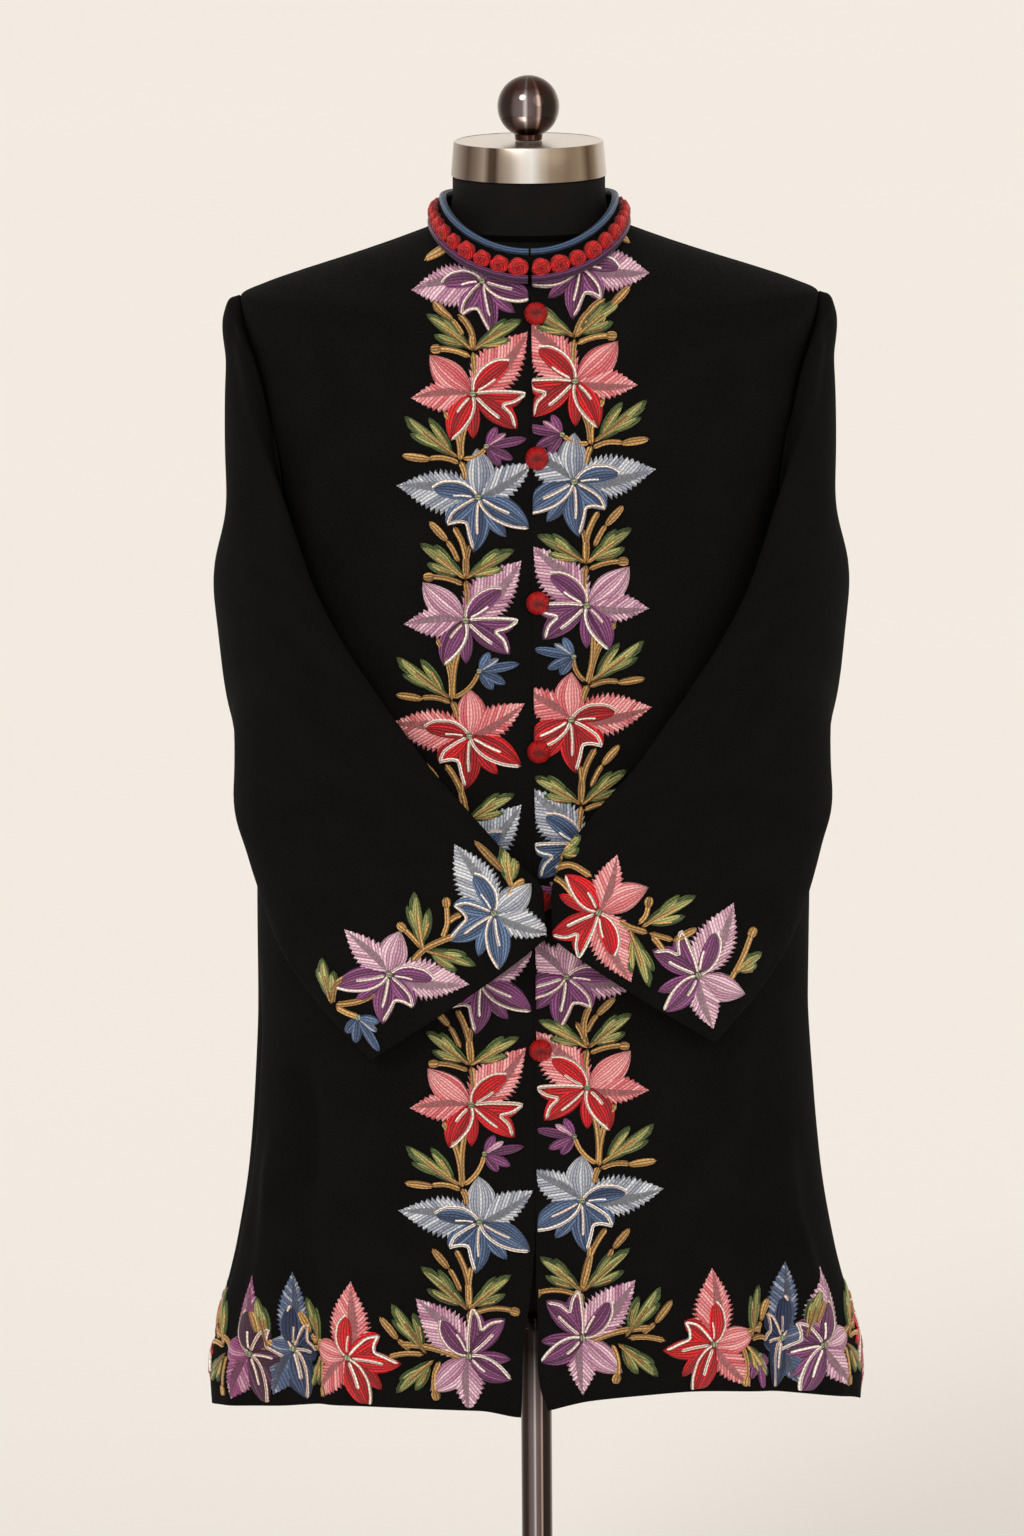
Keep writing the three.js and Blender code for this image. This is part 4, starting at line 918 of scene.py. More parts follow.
# Where the first row lies across the middle line, and how far apart the patterns start of a
# feathered patch's two sides and of two patches.
ROW_START = 0.65
SIDES_APART = 500
UV_APART = 37.0
# How deep a patch's foot and poles are sunk, and the middle of its underside.
FOOT_DEPTH = 0.1
MIDDLE_DEPTH = 0.35
USUAL_RELIEF = 1.5
# Half widths of the cream lines and the leaves' long veins, and of the side shoots.
FINE_LINE = 1.25
SHOOT_HALF = 1.9


def across_path(path):
    """Unit vectors square to a flat path, to its left."""
    way = unit(np.gradient(path, axis=0))
    return np.stack([-way[:, 1], way[:, 0]], -1)


def heading(angle):
    """Unit vectors along a direction in degrees, and square to it."""
    c, s = math.cos(math.radians(angle)), math.sin(math.radians(angle))
    return np.array([c, s]), np.array([-s, c])


class Needlework:
    """Collects raised patches of stitching, each on a flat chart: points (across, up, lift) in
    millimetres with uv along and across the rows, ready to be laid on a surface."""

    def __init__(self, swell):
        self.swell = swell
        self.points, self.uv, self.shade, self.quads, self.triangles = [], [], [], [], []
        self.threads = []
        self.total = 0

    def patch(self, thread, spine, half, relief, slant=0.0, shade=(0.0, 1.0), base=0.0, rim=0.0):
        """A domed patch: spine is its middle line, half its half width at each place. Its section is
        a low arch of the given relief over a foot sunk into the cloth, its ends are poles. The uv
        runs along the spine, its rows drawing together to the ends; with a slant they lean out from
        the middle line, like a feather's. The shade runs from foot to tip and gains rim at the edges."""
        spine, half = np.asarray(spine, float), np.asarray(half, float)
        count = len(spine)
        side = across_path(spine)
        run = distance_along(spine)
        offset = np.append(np.cos(RING_ANGLE), 0)
        height = np.append(np.sin(RING_ANGLE) ** 0.6 * relief * self.swell, -MIDDLE_DEPTH)
        height[[0, -2]] = -FOOT_DEPTH
        taper = np.clip(half / max(half.max(), 1e-6) * 1.6, 0.25, 1)
        inner = slice(1, count - 1)
        across = half[inner, None] * offset
        rings = np.empty((count - 2, RING, 3))
        rings[..., :2] = spine[inner, None] + side[inner, None] * across[..., None]
        rings[..., 2] = height * np.where(height > 0, taper[inner, None], 1) + base
        along = np.broadcast_to(run[inner, None], across.shape)
        if slant:
            c, s = math.cos(slant), math.sin(slant)
            over = np.abs(across)
            uv = np.stack([along * c + over * s, over * c - along * s + SIDES_APART * (across > 0)], -1)
        else:
            uv = np.stack([along, offset * half.max() + 0 * along + ROW_START], -1)
        ends = np.array([[*spine[0], base - FOOT_DEPTH], [*spine[-1], base - FOOT_DEPTH]])
        self.points.append(np.vstack([rings.reshape(-1, 3), ends]))
        uv = np.vstack([uv.reshape(-1, 2), [[0, ROW_START], [run[-1], ROW_START]]])
        self.uv.append(uv + UV_APART * len(self.uv))
        share = mix(shade[0], shade[1], run / max(run[-1], 1e-6))
        ring_shade = share[inner, None] + rim * offset * offset
        self.shade.append(np.append(ring_shade, share[[0, -1]] + rim))
        quads, fans = ring_faces(count - 2, RING)
        self.quads.append(self.total + quads)
        self.triangles.append(self.total + fans)
        self.threads.append(thread)
        self.total += (count - 2) * RING + 2

    def make(self, name, lay):
        """The mesh piece: lay turns chart points into places."""
        quads, triangles = np.concatenate(self.quads), np.concatenate(self.triangles)
        names = sorted(set(self.threads))
        number = np.array([names.index(thread) for thread in self.threads])
        index = np.concatenate([np.repeat(number, [len(faces) for faces in kind])
                                for kind in (self.quads, self.triangles)])
        uv = np.concatenate(self.uv)[np.append(quads, triangles)] * MM
        piece = make_mesh(name, lay(np.concatenate(self.points)), quads, triangles, uv, index,
                          np.concatenate(self.shade))
        for thread in names:
            piece.data.materials.append(bpy.data.materials["thread " + thread])
        return close_up(piece, merge=False)


class Motif:
    """Places patches in a motif's own frame: turned, scaled and mirrored about its centre, then squeezed
    sideways. Its painted light and shade is taken off the shade of its petals and lines: above zero it is
    painted shade, below zero painted light."""

    def __init__(self, works, x, y, turn=0.0, size=1.0, mirror=1, squeeze=1.0, painted_shade=0.0):
        self.works, self.centre = works, np.array([x, y], float)
        self.turn, self.size, self.mirror, self.squeeze = math.radians(turn), size, mirror, squeeze
        self.painted_shade = painted_shade

    def at(self, local):
        """Motif millimetres to chart millimetres."""
        p = np.asarray(local, float) * self.size * (self.mirror, 1)
        c, s = math.cos(self.turn), math.sin(self.turn)
        p = np.stack([p[..., 0] * c - p[..., 1] * s, p[..., 0] * s + p[..., 1] * c], -1)
        return self.centre + p * (self.squeeze, 1)

    def petal(self, work, thread, angle, length, half, relief=USUAL_RELIEF, slant=0.0, bend=0.0, teeth=0,
              low=0.9, high=0.6, start=(0, 0), shade=(0.0, 1.0), base=0.0, rim=0.0):
        """A petal: its half width runs as s^low (1-s)^high of the share s along it, its middle line
        bends aside as a half sine, and teeth notch its edges as a saw that leans to the tip."""
        if teeth:
            s = np.append((np.arange(teeth)[:, None] + (0, 0.5, 0.88)).ravel() / teeth, 1.0)
        else:
            s = np.linspace(0, 1, 16)
        way, side = heading(angle)
        spine = start + s[:, None] * length * way + bend * np.sin(np.pi * s)[:, None] * side
        peak = low / (low + high)
        width = half * (s**low * (1 - s) ** high) / (peak**low * (1 - peak) ** high)
        if teeth:
            width = width * (0.9 + 0.26 * np.mod(s * teeth, 1) / 0.88) * np.where(s < 0.12, 0.9, 1)
        # the motif's painted light and shade is taken off the petal's shade
        self.works[work].patch(thread, self.at(spine), width * self.size, relief, slant,
                               (shade[0] - self.painted_shade, shade[1] - self.painted_shade), base, rim)
        return spine, width

    def line(self, work, thread, points, half, relief=USUAL_RELIEF, base=0.0):
        """A stitched line through a few points: a smooth curve of one width with rounded ends."""
        points = np.asarray(points, float)
        chord = distance_along(points)
        at = np.linspace(0, chord[-1], max(7, int(chord[-1] / 2.6)))
        path = np.stack([curve(chord, points[:, k], at) for k in (0, 1)], -1)
        ends = np.minimum(at, chord[-1] - at) / half
        width = half * np.sqrt(np.clip(1 - (1 - np.clip(ends, 0, 1)) ** 2, 0, 1))
        # the motif's painted light and shade is taken off the line's shade
        self.works[work].patch(thread, self.at(path), width * self.size, relief, 0.0,
                               (0.4 - self.painted_shade, 0.7 - self.painted_shade), base)

    def knot(self, work, radius=2.4):
        """A round knot at the motif's centre."""
        s = np.linspace(-1, 1, 9)
        width = radius * self.size * np.sqrt(np.clip(1 - s * s, 0, 1))
        self.works[work].patch("knot", self.at(np.stack([s * radius, 0 * s], -1)), width, 2.2, 0.0,
                               (0.2, 0.9), 0.3)


def arc(start, end, bulge=0.0):
    """Points from start to end on a parabola that stands aside by bulge at its middle."""
    start, end = np.asarray(start, float), np.asarray(end, float)
    s = np.linspace(0, 1, 9)[:, None]
    way = (end - start) / np.hypot(*(end - start))
    return start + (end - start) * s + 4 * s * (1 - s) * bulge * np.array([-way[1], way[0]])


def edge_line(motif, work, spine, width, side):
    """A cream line along one edge of a petal, just inside it."""
    edge = spine + across_path(spine) * (side * np.maximum(width - 0.4, 0))[:, None]
    last = len(edge) - 1
    pick = np.unique(np.linspace(0.02 * last, last, 7).astype(int))
    motif.line(work, "cream", edge[pick], FINE_LINE, 1.9, base=0.3)


def rib(motif, work, angle, length):
    """A cream line up the middle of a petal."""
    way, _ = heading(angle)
    points = [way * 2, way * length * 0.6 + way[::-1] * (0.6, -0.6), way * length]
    motif.line(work, "cream", points, FINE_LINE, 2.1, base=0.4)


def flower(motif, family, kind):
    """A star flower: one plain and two feathered light petals, five dark ones edged and ribbed in
    cream, and a knot in the middle. The long feathered petal of kind a leans right, kind b's left. A
    flower with painted shade lies in a fold: its thread is darkened for the fold's shade, and its
    long petal is narrower."""
    light, dark, _ = FAMILIES[family]
    feather = {"slant": 0.7, "low": 0.75, "high": 1.15, "shade": (0.1, 0.9), "base": 0.15}
    plain = {"shade": (0.1, 1.0), "base": 0.15}
    deep = {"shade": (-0.1, 0.25), "rim": 0.75}

    def edged(side, *place, **form):
        spine, width = motif.petal(family, dark, *place, **form, **deep)
        edge_line(motif, family, spine, width, side)

    if kind == "a":
        motif.petal(family, light, 139, 39, 10.4, bend=2, low=0.9, high=1.0, **plain)
        motif.petal(family, light, 185, 43, 10.5, teeth=12, **feather)
        motif.petal(family, light, 47, 56, 15, teeth=16, **feather)
        edged(1, 40, 35, 7, relief=1.9, bend=2, low=0.8, high=0.85, base=0.5)
        rib(motif, family, 33, 21)
        motif.petal(family, dark, -5, 34, 7.2, bend=-2, low=0.9, high=0.8, base=0.15, **deep)
        motif.petal(family, dark, -38, 38, 9, bend=2, low=0.8, high=0.85, base=0.25, **deep)
        motif.line(family, "cream", [(1, 0.5), (14, 1.6), (26, 1.4), (35, 0), (28, -5), (20, -7.5), (26, -14),
                                     (28.5, -23)], FINE_LINE, 1.9, base=0.4)
        rib(motif, family, -41, 26)
        motif.petal(family, dark, -90, 30, 5.2, low=0.9, high=0.8, base=0.15, **deep)
        edged(1, -116, 35, 8.6, bend=-2.5, low=0.7, high=0.9, base=0.3)
        rib(motif, family, -130, 18)
    else:
        motif.petal(family, light, 91, 33, 10.6, bend=-1.5, low=0.85, high=1.0, **plain)
        motif.petal(family, light, 31, 44, 10.5, teeth=12, **feather)
        # a flower with painted shade lies in a fold, and its long petal is narrower
        motif.petal(family, light, 173, 56, 8.68 if motif.painted_shade > 0 else 14, teeth=16, **feather)
        edged(-1, 172, 33, 6.6, relief=1.9, bend=-2, low=0.8, high=0.85, base=0.5)
        rib(motif, family, 177, 19)
        edged(-1, -31, 41, 8.8, bend=1.5, low=0.75, high=0.9, base=0.3)
        rib(motif, family, -27, 26)
        motif.petal(family, dark, -55, 33, 5.4, bend=-1, low=0.9, high=0.8, base=0.15, **deep)
        motif.petal(family, dark, -95, 38, 8.2, bend=1.5, low=0.8, high=0.9, base=0.2, **deep)
        motif.petal(family, dark, -138, 29, 8.2, bend=-1.5, low=0.8, high=0.8, base=0.25, **deep)
        motif.line(family, "cream", [(-1, -0.5), (-10, -5.5), (-18, -12), (-20.5, -18.5), (-13, -16.5),
                                     (-8, -17.5), (-6, -25), (-3, -36)], FINE_LINE, 1.9, base=0.4)
        rib(motif, family, -91, 27)
    motif.knot(family)


def bud(motif, family, turn=0.0):
    """A small half-open flower of five narrow petals, the longest ahead."""
    light, dark, _ = FAMILIES[family]
    inner = Motif(motif.works, *motif.centre, math.degrees(motif.turn) + turn * motif.mirror, motif.size,
                  motif.mirror, motif.squeeze)
    deep = {"shade": (0.0, 0.6), "rim": 0.6, "low": 0.8, "high": 0.7}
    inner.petal(family, dark, 54, 15, 3.6, **deep)
    inner.petal(family, dark, -62, 16, 3.8, **deep)
    inner.petal(family, light, 26, 16, 2.8, low=0.8, high=0.7, base=0.2, shade=(-0.8, 0.3))
    inner.petal(family, dark, -34, 20, 3.8, base=0.2, **deep)
    inner.petal(family, dark, 3, 28, 3.4, base=0.4, **deep)
    inner.knot(family, 1.9)


def leaf(motif, start, angle, length, flip=1):
    """A lobed leaf: four dark fingers with three pale ones on them, a long gold vein up the middle
    and a short one to the side."""
    way, side = heading(angle)
    side = side * flip

    def finger(thread, lean, share, half, foot, base, bend):
        motif.petal("leaves", thread, angle + lean * flip, length * share, half,
                    start=start + way * length * foot, low=0.7, high=0.65, base=base, bend=bend * flip,
                    shade=(0.2, 0.8))

    finger("moss", 19, 0.6, 3.3, 0.2, 0.0, 0.8)
    finger("moss", 13, 0.5, 3.0, 0.42, 0.05, 0.6)
    finger("moss", -16, 0.62, 3.6, 0.1, 0.05, -0.8)
    finger("moss", 3, 1.0, 4.6, 0.0, 0.1, 1.3)
    finger("leaf", 17, 0.54, 2.2, 0.2, 0.35, 0.7)
    finger("leaf", -14, 0.54, 2.4, 0.12, 0.4, -0.6)
    finger("leaf", 2, 0.92, 3.1, 0.03, 0.45, 1.1)
    long_vein = [start - way * 1.5, start + way * length * 0.35 + side * 1.2,
                 start + way * length * 0.66 + side * 1.6]
    motif.line("leaves", "gold", long_vein, FINE_LINE, base=0.9)
    short_vein = [start + way * length * 0.2 - side * 1.6, start + way * length * 0.48 - side * 6.5]
    motif.line("leaves", "gold", short_vein, 0.9, 1.4, base=0.8)


def stem(motif, points, half=2.3):
    """A gold stem along a path."""
    motif.line("leaves", "gold", points, half)


def swelling(motif, centre, way, long, half):
    """A gold oval laid along a direction."""
    s = np.linspace(-1, 1, 11)
    width = half * motif.size * (1 - np.abs(s) ** 2.4) ** 0.6
    motif.works["leaves"].patch("gold", motif.at(centre + unit(way) * s[:, None] * long), width, 2.1, 0.0,
                                (0.3, 0.9), 0.2)


def shoot_tip(points):
    """A shoot's tip, and its last stretch as a vector."""
    tip, before = np.asarray(points[-1], float), np.asarray(points[-2], float)
    return tip, tip - before


def twig(motif, points):
    """A gold side shoot with a round swelling at its tip."""
    stem(motif, points, SHOOT_HALF)
    tip, way = shoot_tip(points)
    swelling(motif, tip - unit(way), way, 4.0, 3.2)


def shoot(motif, points):
    """A gold side shoot that ends in a long swelling."""
    stem(motif, points[:-1] if len(points) > 2 else points, SHOOT_HALF)
    tip, way = shoot_tip(points)
    swelling(motif, tip - way / 2, way, max(9.5, np.hypot(*way) / 2 + 1), 2.8)


def link_with_bud(motif, drop, family):
    """From a flower of kind a down to the next of kind b: two stems to a node, a leaf and a long
    shoot outwards, and a bud inwards."""
    x, y = drop
    node = np.array([x - 12, y + 24])
    stem(motif, arc((-20, -12), node, 4))
    stem(motif, arc((-4, -18), node + (1, 1), -2))
    stem(motif, arc(node, (x - 8, y + 11), 1))
    stem(motif, arc((9, -35), node + (1, 2), 3), 1.7)
    leaf(motif, node + (-2, 3), 141, 45, 1)
    stem(motif, arc(node + (0, -2), node + (-22, 1), -2.5), SHOOT_HALF)
    shoot(motif, [node + (-20, 1), node + (-38, 3)])
    bud(Motif(motif.works, *motif.at((9, -35)), 0, motif.size, motif.mirror, motif.squeeze), family, 8)


def link_with_leaves(motif, drop, is_last):
    """From a flower of kind b down to the next of kind a: a long shoot and two stems to a node with a
    leaf each side and a side shoot."""
    x, y = drop
    node = np.array([x, y + (33 if is_last else 28)])
    stem(motif, arc((-17, -20), node, 4))
    stem(motif, arc((-6, -32), node + (1, 1), -1.5))
    stem(motif, arc(node, (x + 1, y + 8), 1))
    leaf(motif, node + (-1, 1), 140 if is_last else 146, 44 if is_last else 38, -1)
    leaf(motif, node + (1, 1), 38 if is_last else 28, 38, 1)
    down = node[1]
    shoot(motif, [(-13, 0.8 * down), (-18, 0.62 * down), (-22, 0.52 * down), (-32, 0.33 * down)])
    if is_last:
        twig(motif, arc(node + (1, -4), node + (33, -1), 4))
    else:
        twig(motif, arc(node + (-1, -4), node + (-26, 1), -2))


# The run of flowers down each front: kind, family, distance from the centre line, height and turn.
# The last is the hem's first.
FRONT_RUN = {
    "right": (("b", "purple", -32, 1115, 14), ("a", "red", -39, 1043, 0), ("b", "blue", -36, 974, 0),
              ("a", "purple", -45, 890, 0), ("b", "red", -43, 810, 0), ("a", "blue", -46, 721, 0),
              ("b", "purple", -37, 637, 0), ("a", "red", -44, 549, 0), ("b", "blue", -39, 465, 0),
              ("a", "purple", -47, 368, 85)),
    "left": (("b", "purple", 34, 1124, -14), ("a", "red", 30, 1051, 0), ("b", "blue", 29, 984, 0),
             ("a", "purple", 37, 900, 0), ("b", "red", 26, 821, 0), ("a", "blue", 33, 733, 0),
             ("b", "purple", 22, 640, -11), ("a", "red", 36, 561, 0), ("b", "blue", 32, 480, 0),
             ("a", "purple", 32, 381, -85)),
}
# Sizes of the flowers by the neck, and on the hem and the cuffs.
NECK_FLOWER = 0.88
LOW_FLOWER = 0.98
BUD_FAMILIES = ("purple", "blue", "purple", "purple")
# Flowers round the hem: kind, family, distance from the centre line, height, turn, mirror and
# squeeze where the cloth is folded in.
HEM_RUN = {
    "right": (("a", "purple", -47, 368, 85, 1, 1.0), ("b", "red", -131, 364, 80, -1, 1.0),
              ("b", "blue", -180, 364, 84, -1, 0.44), ("b", "purple", -207, 357, 86, -1, 0.64),
              ("a", "red", -279, 349, 85, 1, 0.8)),
    "left": (("a", "purple", 32, 381, -85, -1, 1.0), ("b", "red", 124, 372, -82, 1, 1.0),
             ("b", "blue", 182, 369, -84, 1, 0.44), ("b", "purple", 209, 360, -84, 1, 0.9),
             ("a", "red", 271, 355, -85, -1, 0.8)),
    "back": (("a", "blue", 338, 350, -85, -1, 1.0), ("b", "purple", 410, 350, -84, 1, 1.0),
             ("a", "red", 482, 350, -85, -1, 1.0), ("b", "blue", 554, 350, -84, 1, 1.0),
             ("a", "purple", 626, 350, -85, -1, 1.0), ("b", "red", 698, 350, -84, 1, 1.0),
             ("a", "blue", 770, 350, -85, -1, 1.0)),
}
# Height at which the hem's curve is read for the stitching above it.
HEM_STITCH_HEIGHT = 330.0
# Closer than this along the hem, two flowers have only narrow shoots between them.
CROWDED = 35
# Flowers on the cuffs, as seen from the front: kind, family, x, z, turn, mirror.
CUFF_RUN = {
    "right": (("b", "purple", -99, 646, -13, -1), ("b", "blue", -27.5, 690.5, -54, 1)),
    "left": (("a", "red", 44, 690.5, -113, 1), ("a", "purple", 112, 643, -70, -1)),
}
# How much painted light the cuffs' lighter thread gets, and how much painted shade the hem's
# flowers in folds squeezed below a limit get.
CUFF_PAINTED_LIGHT = -0.6
FOLDED_PAINTED_SHADE = 2.0
FOLDED_SQUEEZE = 0.7
# Stems, leaves and side shoots on the cuffs, as seen from the front.
CUFF_GREEN = {
    "right": (
        ("stem", (-84, 655), (-76, 664), (-61, 672), (-50, 676)),
        ("stem", (-59, 684), (-54, 688), (-49, 690)),
        ("leaf", (-76, 665), 95, 41), ("leaf", (-74, 664), -20, 36),
        ("twig", (-63, 672), (-59, 685), (-59.6, 699)), ("twig", (-76, 665), (-84, 674), (-91, 681)),
        ("shoot", (-14.7, 708), (-20, 718), (-40, 740)), ("leaf", (-15, 709), 98, 29),
        ("stem", (-14.7, 707), (-10, 711), (-6, 712.5)), ("stem", (-20, 700), (-17, 704), (-14.5, 708)),
        ("leaf", (-140, 624), 98, 30), ("stem", (-140, 620), (-137, 634), (-121, 646)),
        ("stem", (-137, 620), (-120, 625), (-107, 633)), ("stem", (-137, 619), (-128, 615), (-120, 613)),
    ),
    "left": (
        ("stem", (12, 718), (24, 723), (40, 715)), ("stem", (12, 714), (19, 711), (29, 699)),
        ("leaf", (17.5, 727), 44, 22), ("stem", (12, 717), (15, 724), (19, 731)),
        ("stem", (56, 685), (64, 680), (78, 675)), ("shoot", (78, 675), (96, 669), (110, 676)),
        ("leaf", (74, 680), 25, 42), ("leaf", (65.5, 677), -75, 43),
        ("twig", (71, 681), (77, 689), (78.5, 698)), ("stem", (80, 673), (85, 667), (90, 659)),
        ("twig", (134, 636), (143, 652), (150, 670)), ("leaf", (138, 642), 28, 22),
    ),
}


# ---------------------------------------------------------------- charts

def drawn_in(value, limit, sign, room=2.5):
    """Values kept on one side of a limit (above it for sign 1): what would pass it is pressed
    together just inside, as an exponential."""
    over = np.maximum(sign * (limit - value) + room, 0)
    return np.where(over > 0, limit + sign * room * np.exp(-over / room), value)


def neckline(x):
    """Height of the neck's edge at a distance from the centre line."""
    angles = np.linspace(0, 90, 60)
    return np.interp(x, NECK_HALF_WIDTH * np.sin(np.radians(angles)), neck(angles)[1])


class BodyChart:
    """Flat chart of the body: across is the distance round the body from the centre front at a
    height, measured along the cloth. A table of turns by height and distance is worked out once."""

    Z_STEP, ACROSS_STEP = 6.0, 4.0

    def __init__(self):
        self.z = np.arange(296.0, 1150.0, self.Z_STEP)
        self.across = np.arange(-560.0, 1400.0, self.ACROSS_STEP)
        turns = np.arange(0, 360.5, 1.0)
        whole = np.concatenate([-turns[180:0:-1], turns])
        rows = []
        for z in self.z:
            ahead, behind = (distance_along(plan_point(signed_turn(t), z)) for t in (turns, -turns[:181]))
            rows.append(np.interp(self.across, np.concatenate([-behind[:0:-1], ahead]), whole))
        self.turn = np.array(rows)

    def turn_at(self, across, z):
        """Turn of a place, blended between the table's four nearest entries."""
        i = np.clip((z - self.z[0]) / self.Z_STEP, 0, len(self.z) - 1.001)
        j = np.clip((across - self.across[0]) / self.ACROSS_STEP, 0, len(self.across) - 1.001)
        a, b = i.astype(int), j.astype(int)
        below, above = (mix(self.turn[k, b], self.turn[k, b + 1], j - b) for k in (a, a + 1))
        return mix(below, above, i - a)

    def lay(self, chart, side_name=None):
        """Chart points to places on the outside of the body cloth, drawn in to the panel's edges."""
        across, z, lift = chart.T
        if side_name:
            side = SIDES[side_name]
            edge = curve(FRONT_EDGE["z"], FRONT_EDGE[side_name], z) + 0.6
            across = side * drawn_in(side * across, edge, 1)
            z = drawn_in(z, neckline(np.abs(across)) + 1, -1)
        hem_turn = signed_turn(self.turn_at(across, np.full(len(z), HEM_STITCH_HEIGHT)))
        z = drawn_in(z, hem(hem_turn) + 1.5, 1)
        return body_point(signed_turn(self.turn_at(across, z)), z, CLOTH + lift)


def lay_on_sleeve(side_name, chart):
    """Chart points (x, z seen from the front) to places on a sleeve's outer face: Newton's steps find
    the angle and station that stand at each x and z, from the nearest of a coarse grid."""
    side = SIDES[side_name]
    goal, lift = chart[:, :2] * (side, 1), chart[:, 2:]

    def seen(a, s):
        return sleeve_wall(side_name, a, s, CLOTH)[0][:, [0, 2]]

    angles, stations = (v.ravel() for v in np.meshgrid(
        np.linspace(8, 172, 42), np.linspace(7, CUFF_STATION, 51), indexing="ij"))
    coarse = seen(angles, stations)
    nearest = np.concatenate([
        ((coarse - goal[start:start + 4000, None]) ** 2).sum(-1).argmin(1)
        for start in range(0, len(goal), 4000)])
    angle, station = angles[nearest], stations[nearest]
    for _ in range(5):
        here = seen(angle, station)
        da = (seen(angle + 0.5, station) - here) / 0.5
        ds = (seen(angle, station - 0.02) - here) / -0.02
        gap = goal - here
        det = da[:, 0] * ds[:, 1] - da[:, 1] * ds[:, 0]
        det = np.where(np.abs(det) < 0.02, np.where(det < 0, -0.02, 0.02), det)
        angle = angle + np.clip((gap[:, 0] * ds[:, 1] - gap[:, 1] * ds[:, 0]) / det, -4, 4)
        station = station + np.clip((gap[:, 1] * da[:, 0] - gap[:, 0] * da[:, 1]) / det, -0.2, 0.2)
        angle, station = np.clip(angle, 3, 177), np.clip(station, 6, CUFF_STATION - 0.03)
    place, normal = sleeve_wall(side_name, angle, station, CLOTH)
    return mirrored(place + normal * lift, side)


# ---------------------------------------------------------------- pieces

def finish_piece(piece, material=None, replaces=(), body=BODY_NAME):
    """Gives a piece its material and body, and hides the nodes that it stands for."""
    if material is not None:
        piece.data.materials.append(bpy.data.materials[material])
    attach(piece, body)
    if replaces:
        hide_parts(*replaces)
    return piece


def cloth_piece(node, inner, outer, uv, is_ring=False):
    """A closed wall of black wool that stands for a node; its uv is given in millimetres."""
    piece = wall_piece(f"{node}_cloth", inner, outer, uv * MM, is_ring)
    return finish_piece(piece, "black wool", [node])


def make_panel(node, turn, z, middle=0, mirror=1):
    """A panel of the body over a grid of turns and heights, inner and outer wall a cloth's thickness
    apart. Its uv is the distance along the cloth from column middle, and the height."""
    place, normal = body_frame(turn, z)
    outer = place + normal * CLOTH
    width = distance_along(outer, 1)
    uv = np.stack([mirror * (width - width[:, middle:middle + 1]), outer[..., 2]], -1)
    return cloth_piece(node, place, outer, uv), surface_area(outer)


def make_front(side_name):
    """A front, from front_place()."""
    up, across = grid(150, 76)
    return make_panel(f"front_{side_name}", *front_place(side_name, across, up), mirror=SIDES[side_name])


def make_back():
    """The back, from back_place()."""
    up, across = grid(150, 130)
    return make_panel("back", *back_place(across, up), middle=65)


def make_sleeve(side_name):
    """A sleeve: rings of the sleeve's wall from armhole to cuff, closer together towards the
    armhole."""
    rows, columns = 150, 104
    station = CUFF_STATION * (np.arange(rows + 1) / rows)[:, None] ** 1.1 + np.zeros((1, columns))
    angle = np.zeros((rows + 1, 1)) + 360 * np.arange(columns) / columns
    inner, outer = (mirrored(sleeve_wall(side_name, angle, station, depth)[0], SIDES[side_name])
                    for depth in (0, CLOTH))
    closed = np.concatenate([outer, outer[:, :1]], 1)
    uv = np.stack([distance_along(closed, 1), distance_along(closed)], -1)
    return cloth_piece(f"sleeve_{side_name}", inner, outer, uv, is_ring=True), surface_area(closed)


def collar_point(angle, up, out):
    """Place on the collar: angle about the neck (-180 to 180), up 0 at its foot to 1 at its top,
    out off its inner face."""
    turn, z = neck(np.abs(angle), SEAM_GAP / 2)
    foot = body_point(turn, z, np.full(turn.shape, ON_CLOTH), creased=False)
    foot[..., 0] *= np.where(angle < 0, -1, 1)
    outward = unit(foot * (1, NECK_HALF_WIDTH / NECK_HALF_DEPTH, 0))
    place = foot + outward * (out - COLLAR_LEAN * up + 0 * turn)[..., None]
    place[..., 2] += COLLAR_HEIGHT * up
    return place


def round_neck(count, gap=0.0):
    """Turns about the neck, evenly spaced, from one front edge round the back to the other."""
    start = gap + 0.14
    angle = mix(start, 360 - start, np.linspace(0, 1, count + 1))
    return np.where(angle > 180, angle - 360, angle)


def make_collar():
    """The stand collar: a thin band bowed slightly outwards."""
    up, _ = grid(12, 220)
    angle = np.broadcast_to(round_neck(220), up.shape)
    bow = 0.5 * np.sin(np.pi * up)
    inner, outer = collar_point(angle, up, bow), collar_point(angle, up, bow + COLLAR_WALL)
    uv = np.stack([distance_along(outer[0]) + 0 * up, up * COLLAR_HEIGHT], -1)
    return cloth_piece("collar", inner, outer, uv)


def make_top_cord():
    """The blue satin-stitched cord on the collar's edge."""
    path = collar_point(round_neck(420, 0.6), 1, COLLAR_WALL / 2)
    path[:, 2] += TOP_CORD_RADIUS + SEAM_GAP - 0.35
    piece = cord_piece("collar_edge_cord", path, TOP_CORD_RADIUS * (1 + 0.03 * np.sin(np.arange(421) * 1.9)))
    return finish_piece(piece, "blue satin", ["collar_top_cord"])


def make_base_cord():
    """The purple satin-stitched cord along the collar's foot."""
    angle = round_neck(420, 1)
    path = collar_point(angle, 0, COLLAR_WALL + BASE_CORD_RADIUS + SEAM_GAP)
    path[:, 2] += BASE_CORD_RADIUS * (0.1 + 0.3 * np.sin(np.radians(angle)) ** 2)
    piece = cord_piece("collar_foot_cord", path, BASE_CORD_RADIUS * (1 + 0.03 * np.sin(np.arange(421) * 2.3)))
    return finish_piece(piece, "purple satin", ["collar_base_cord"])


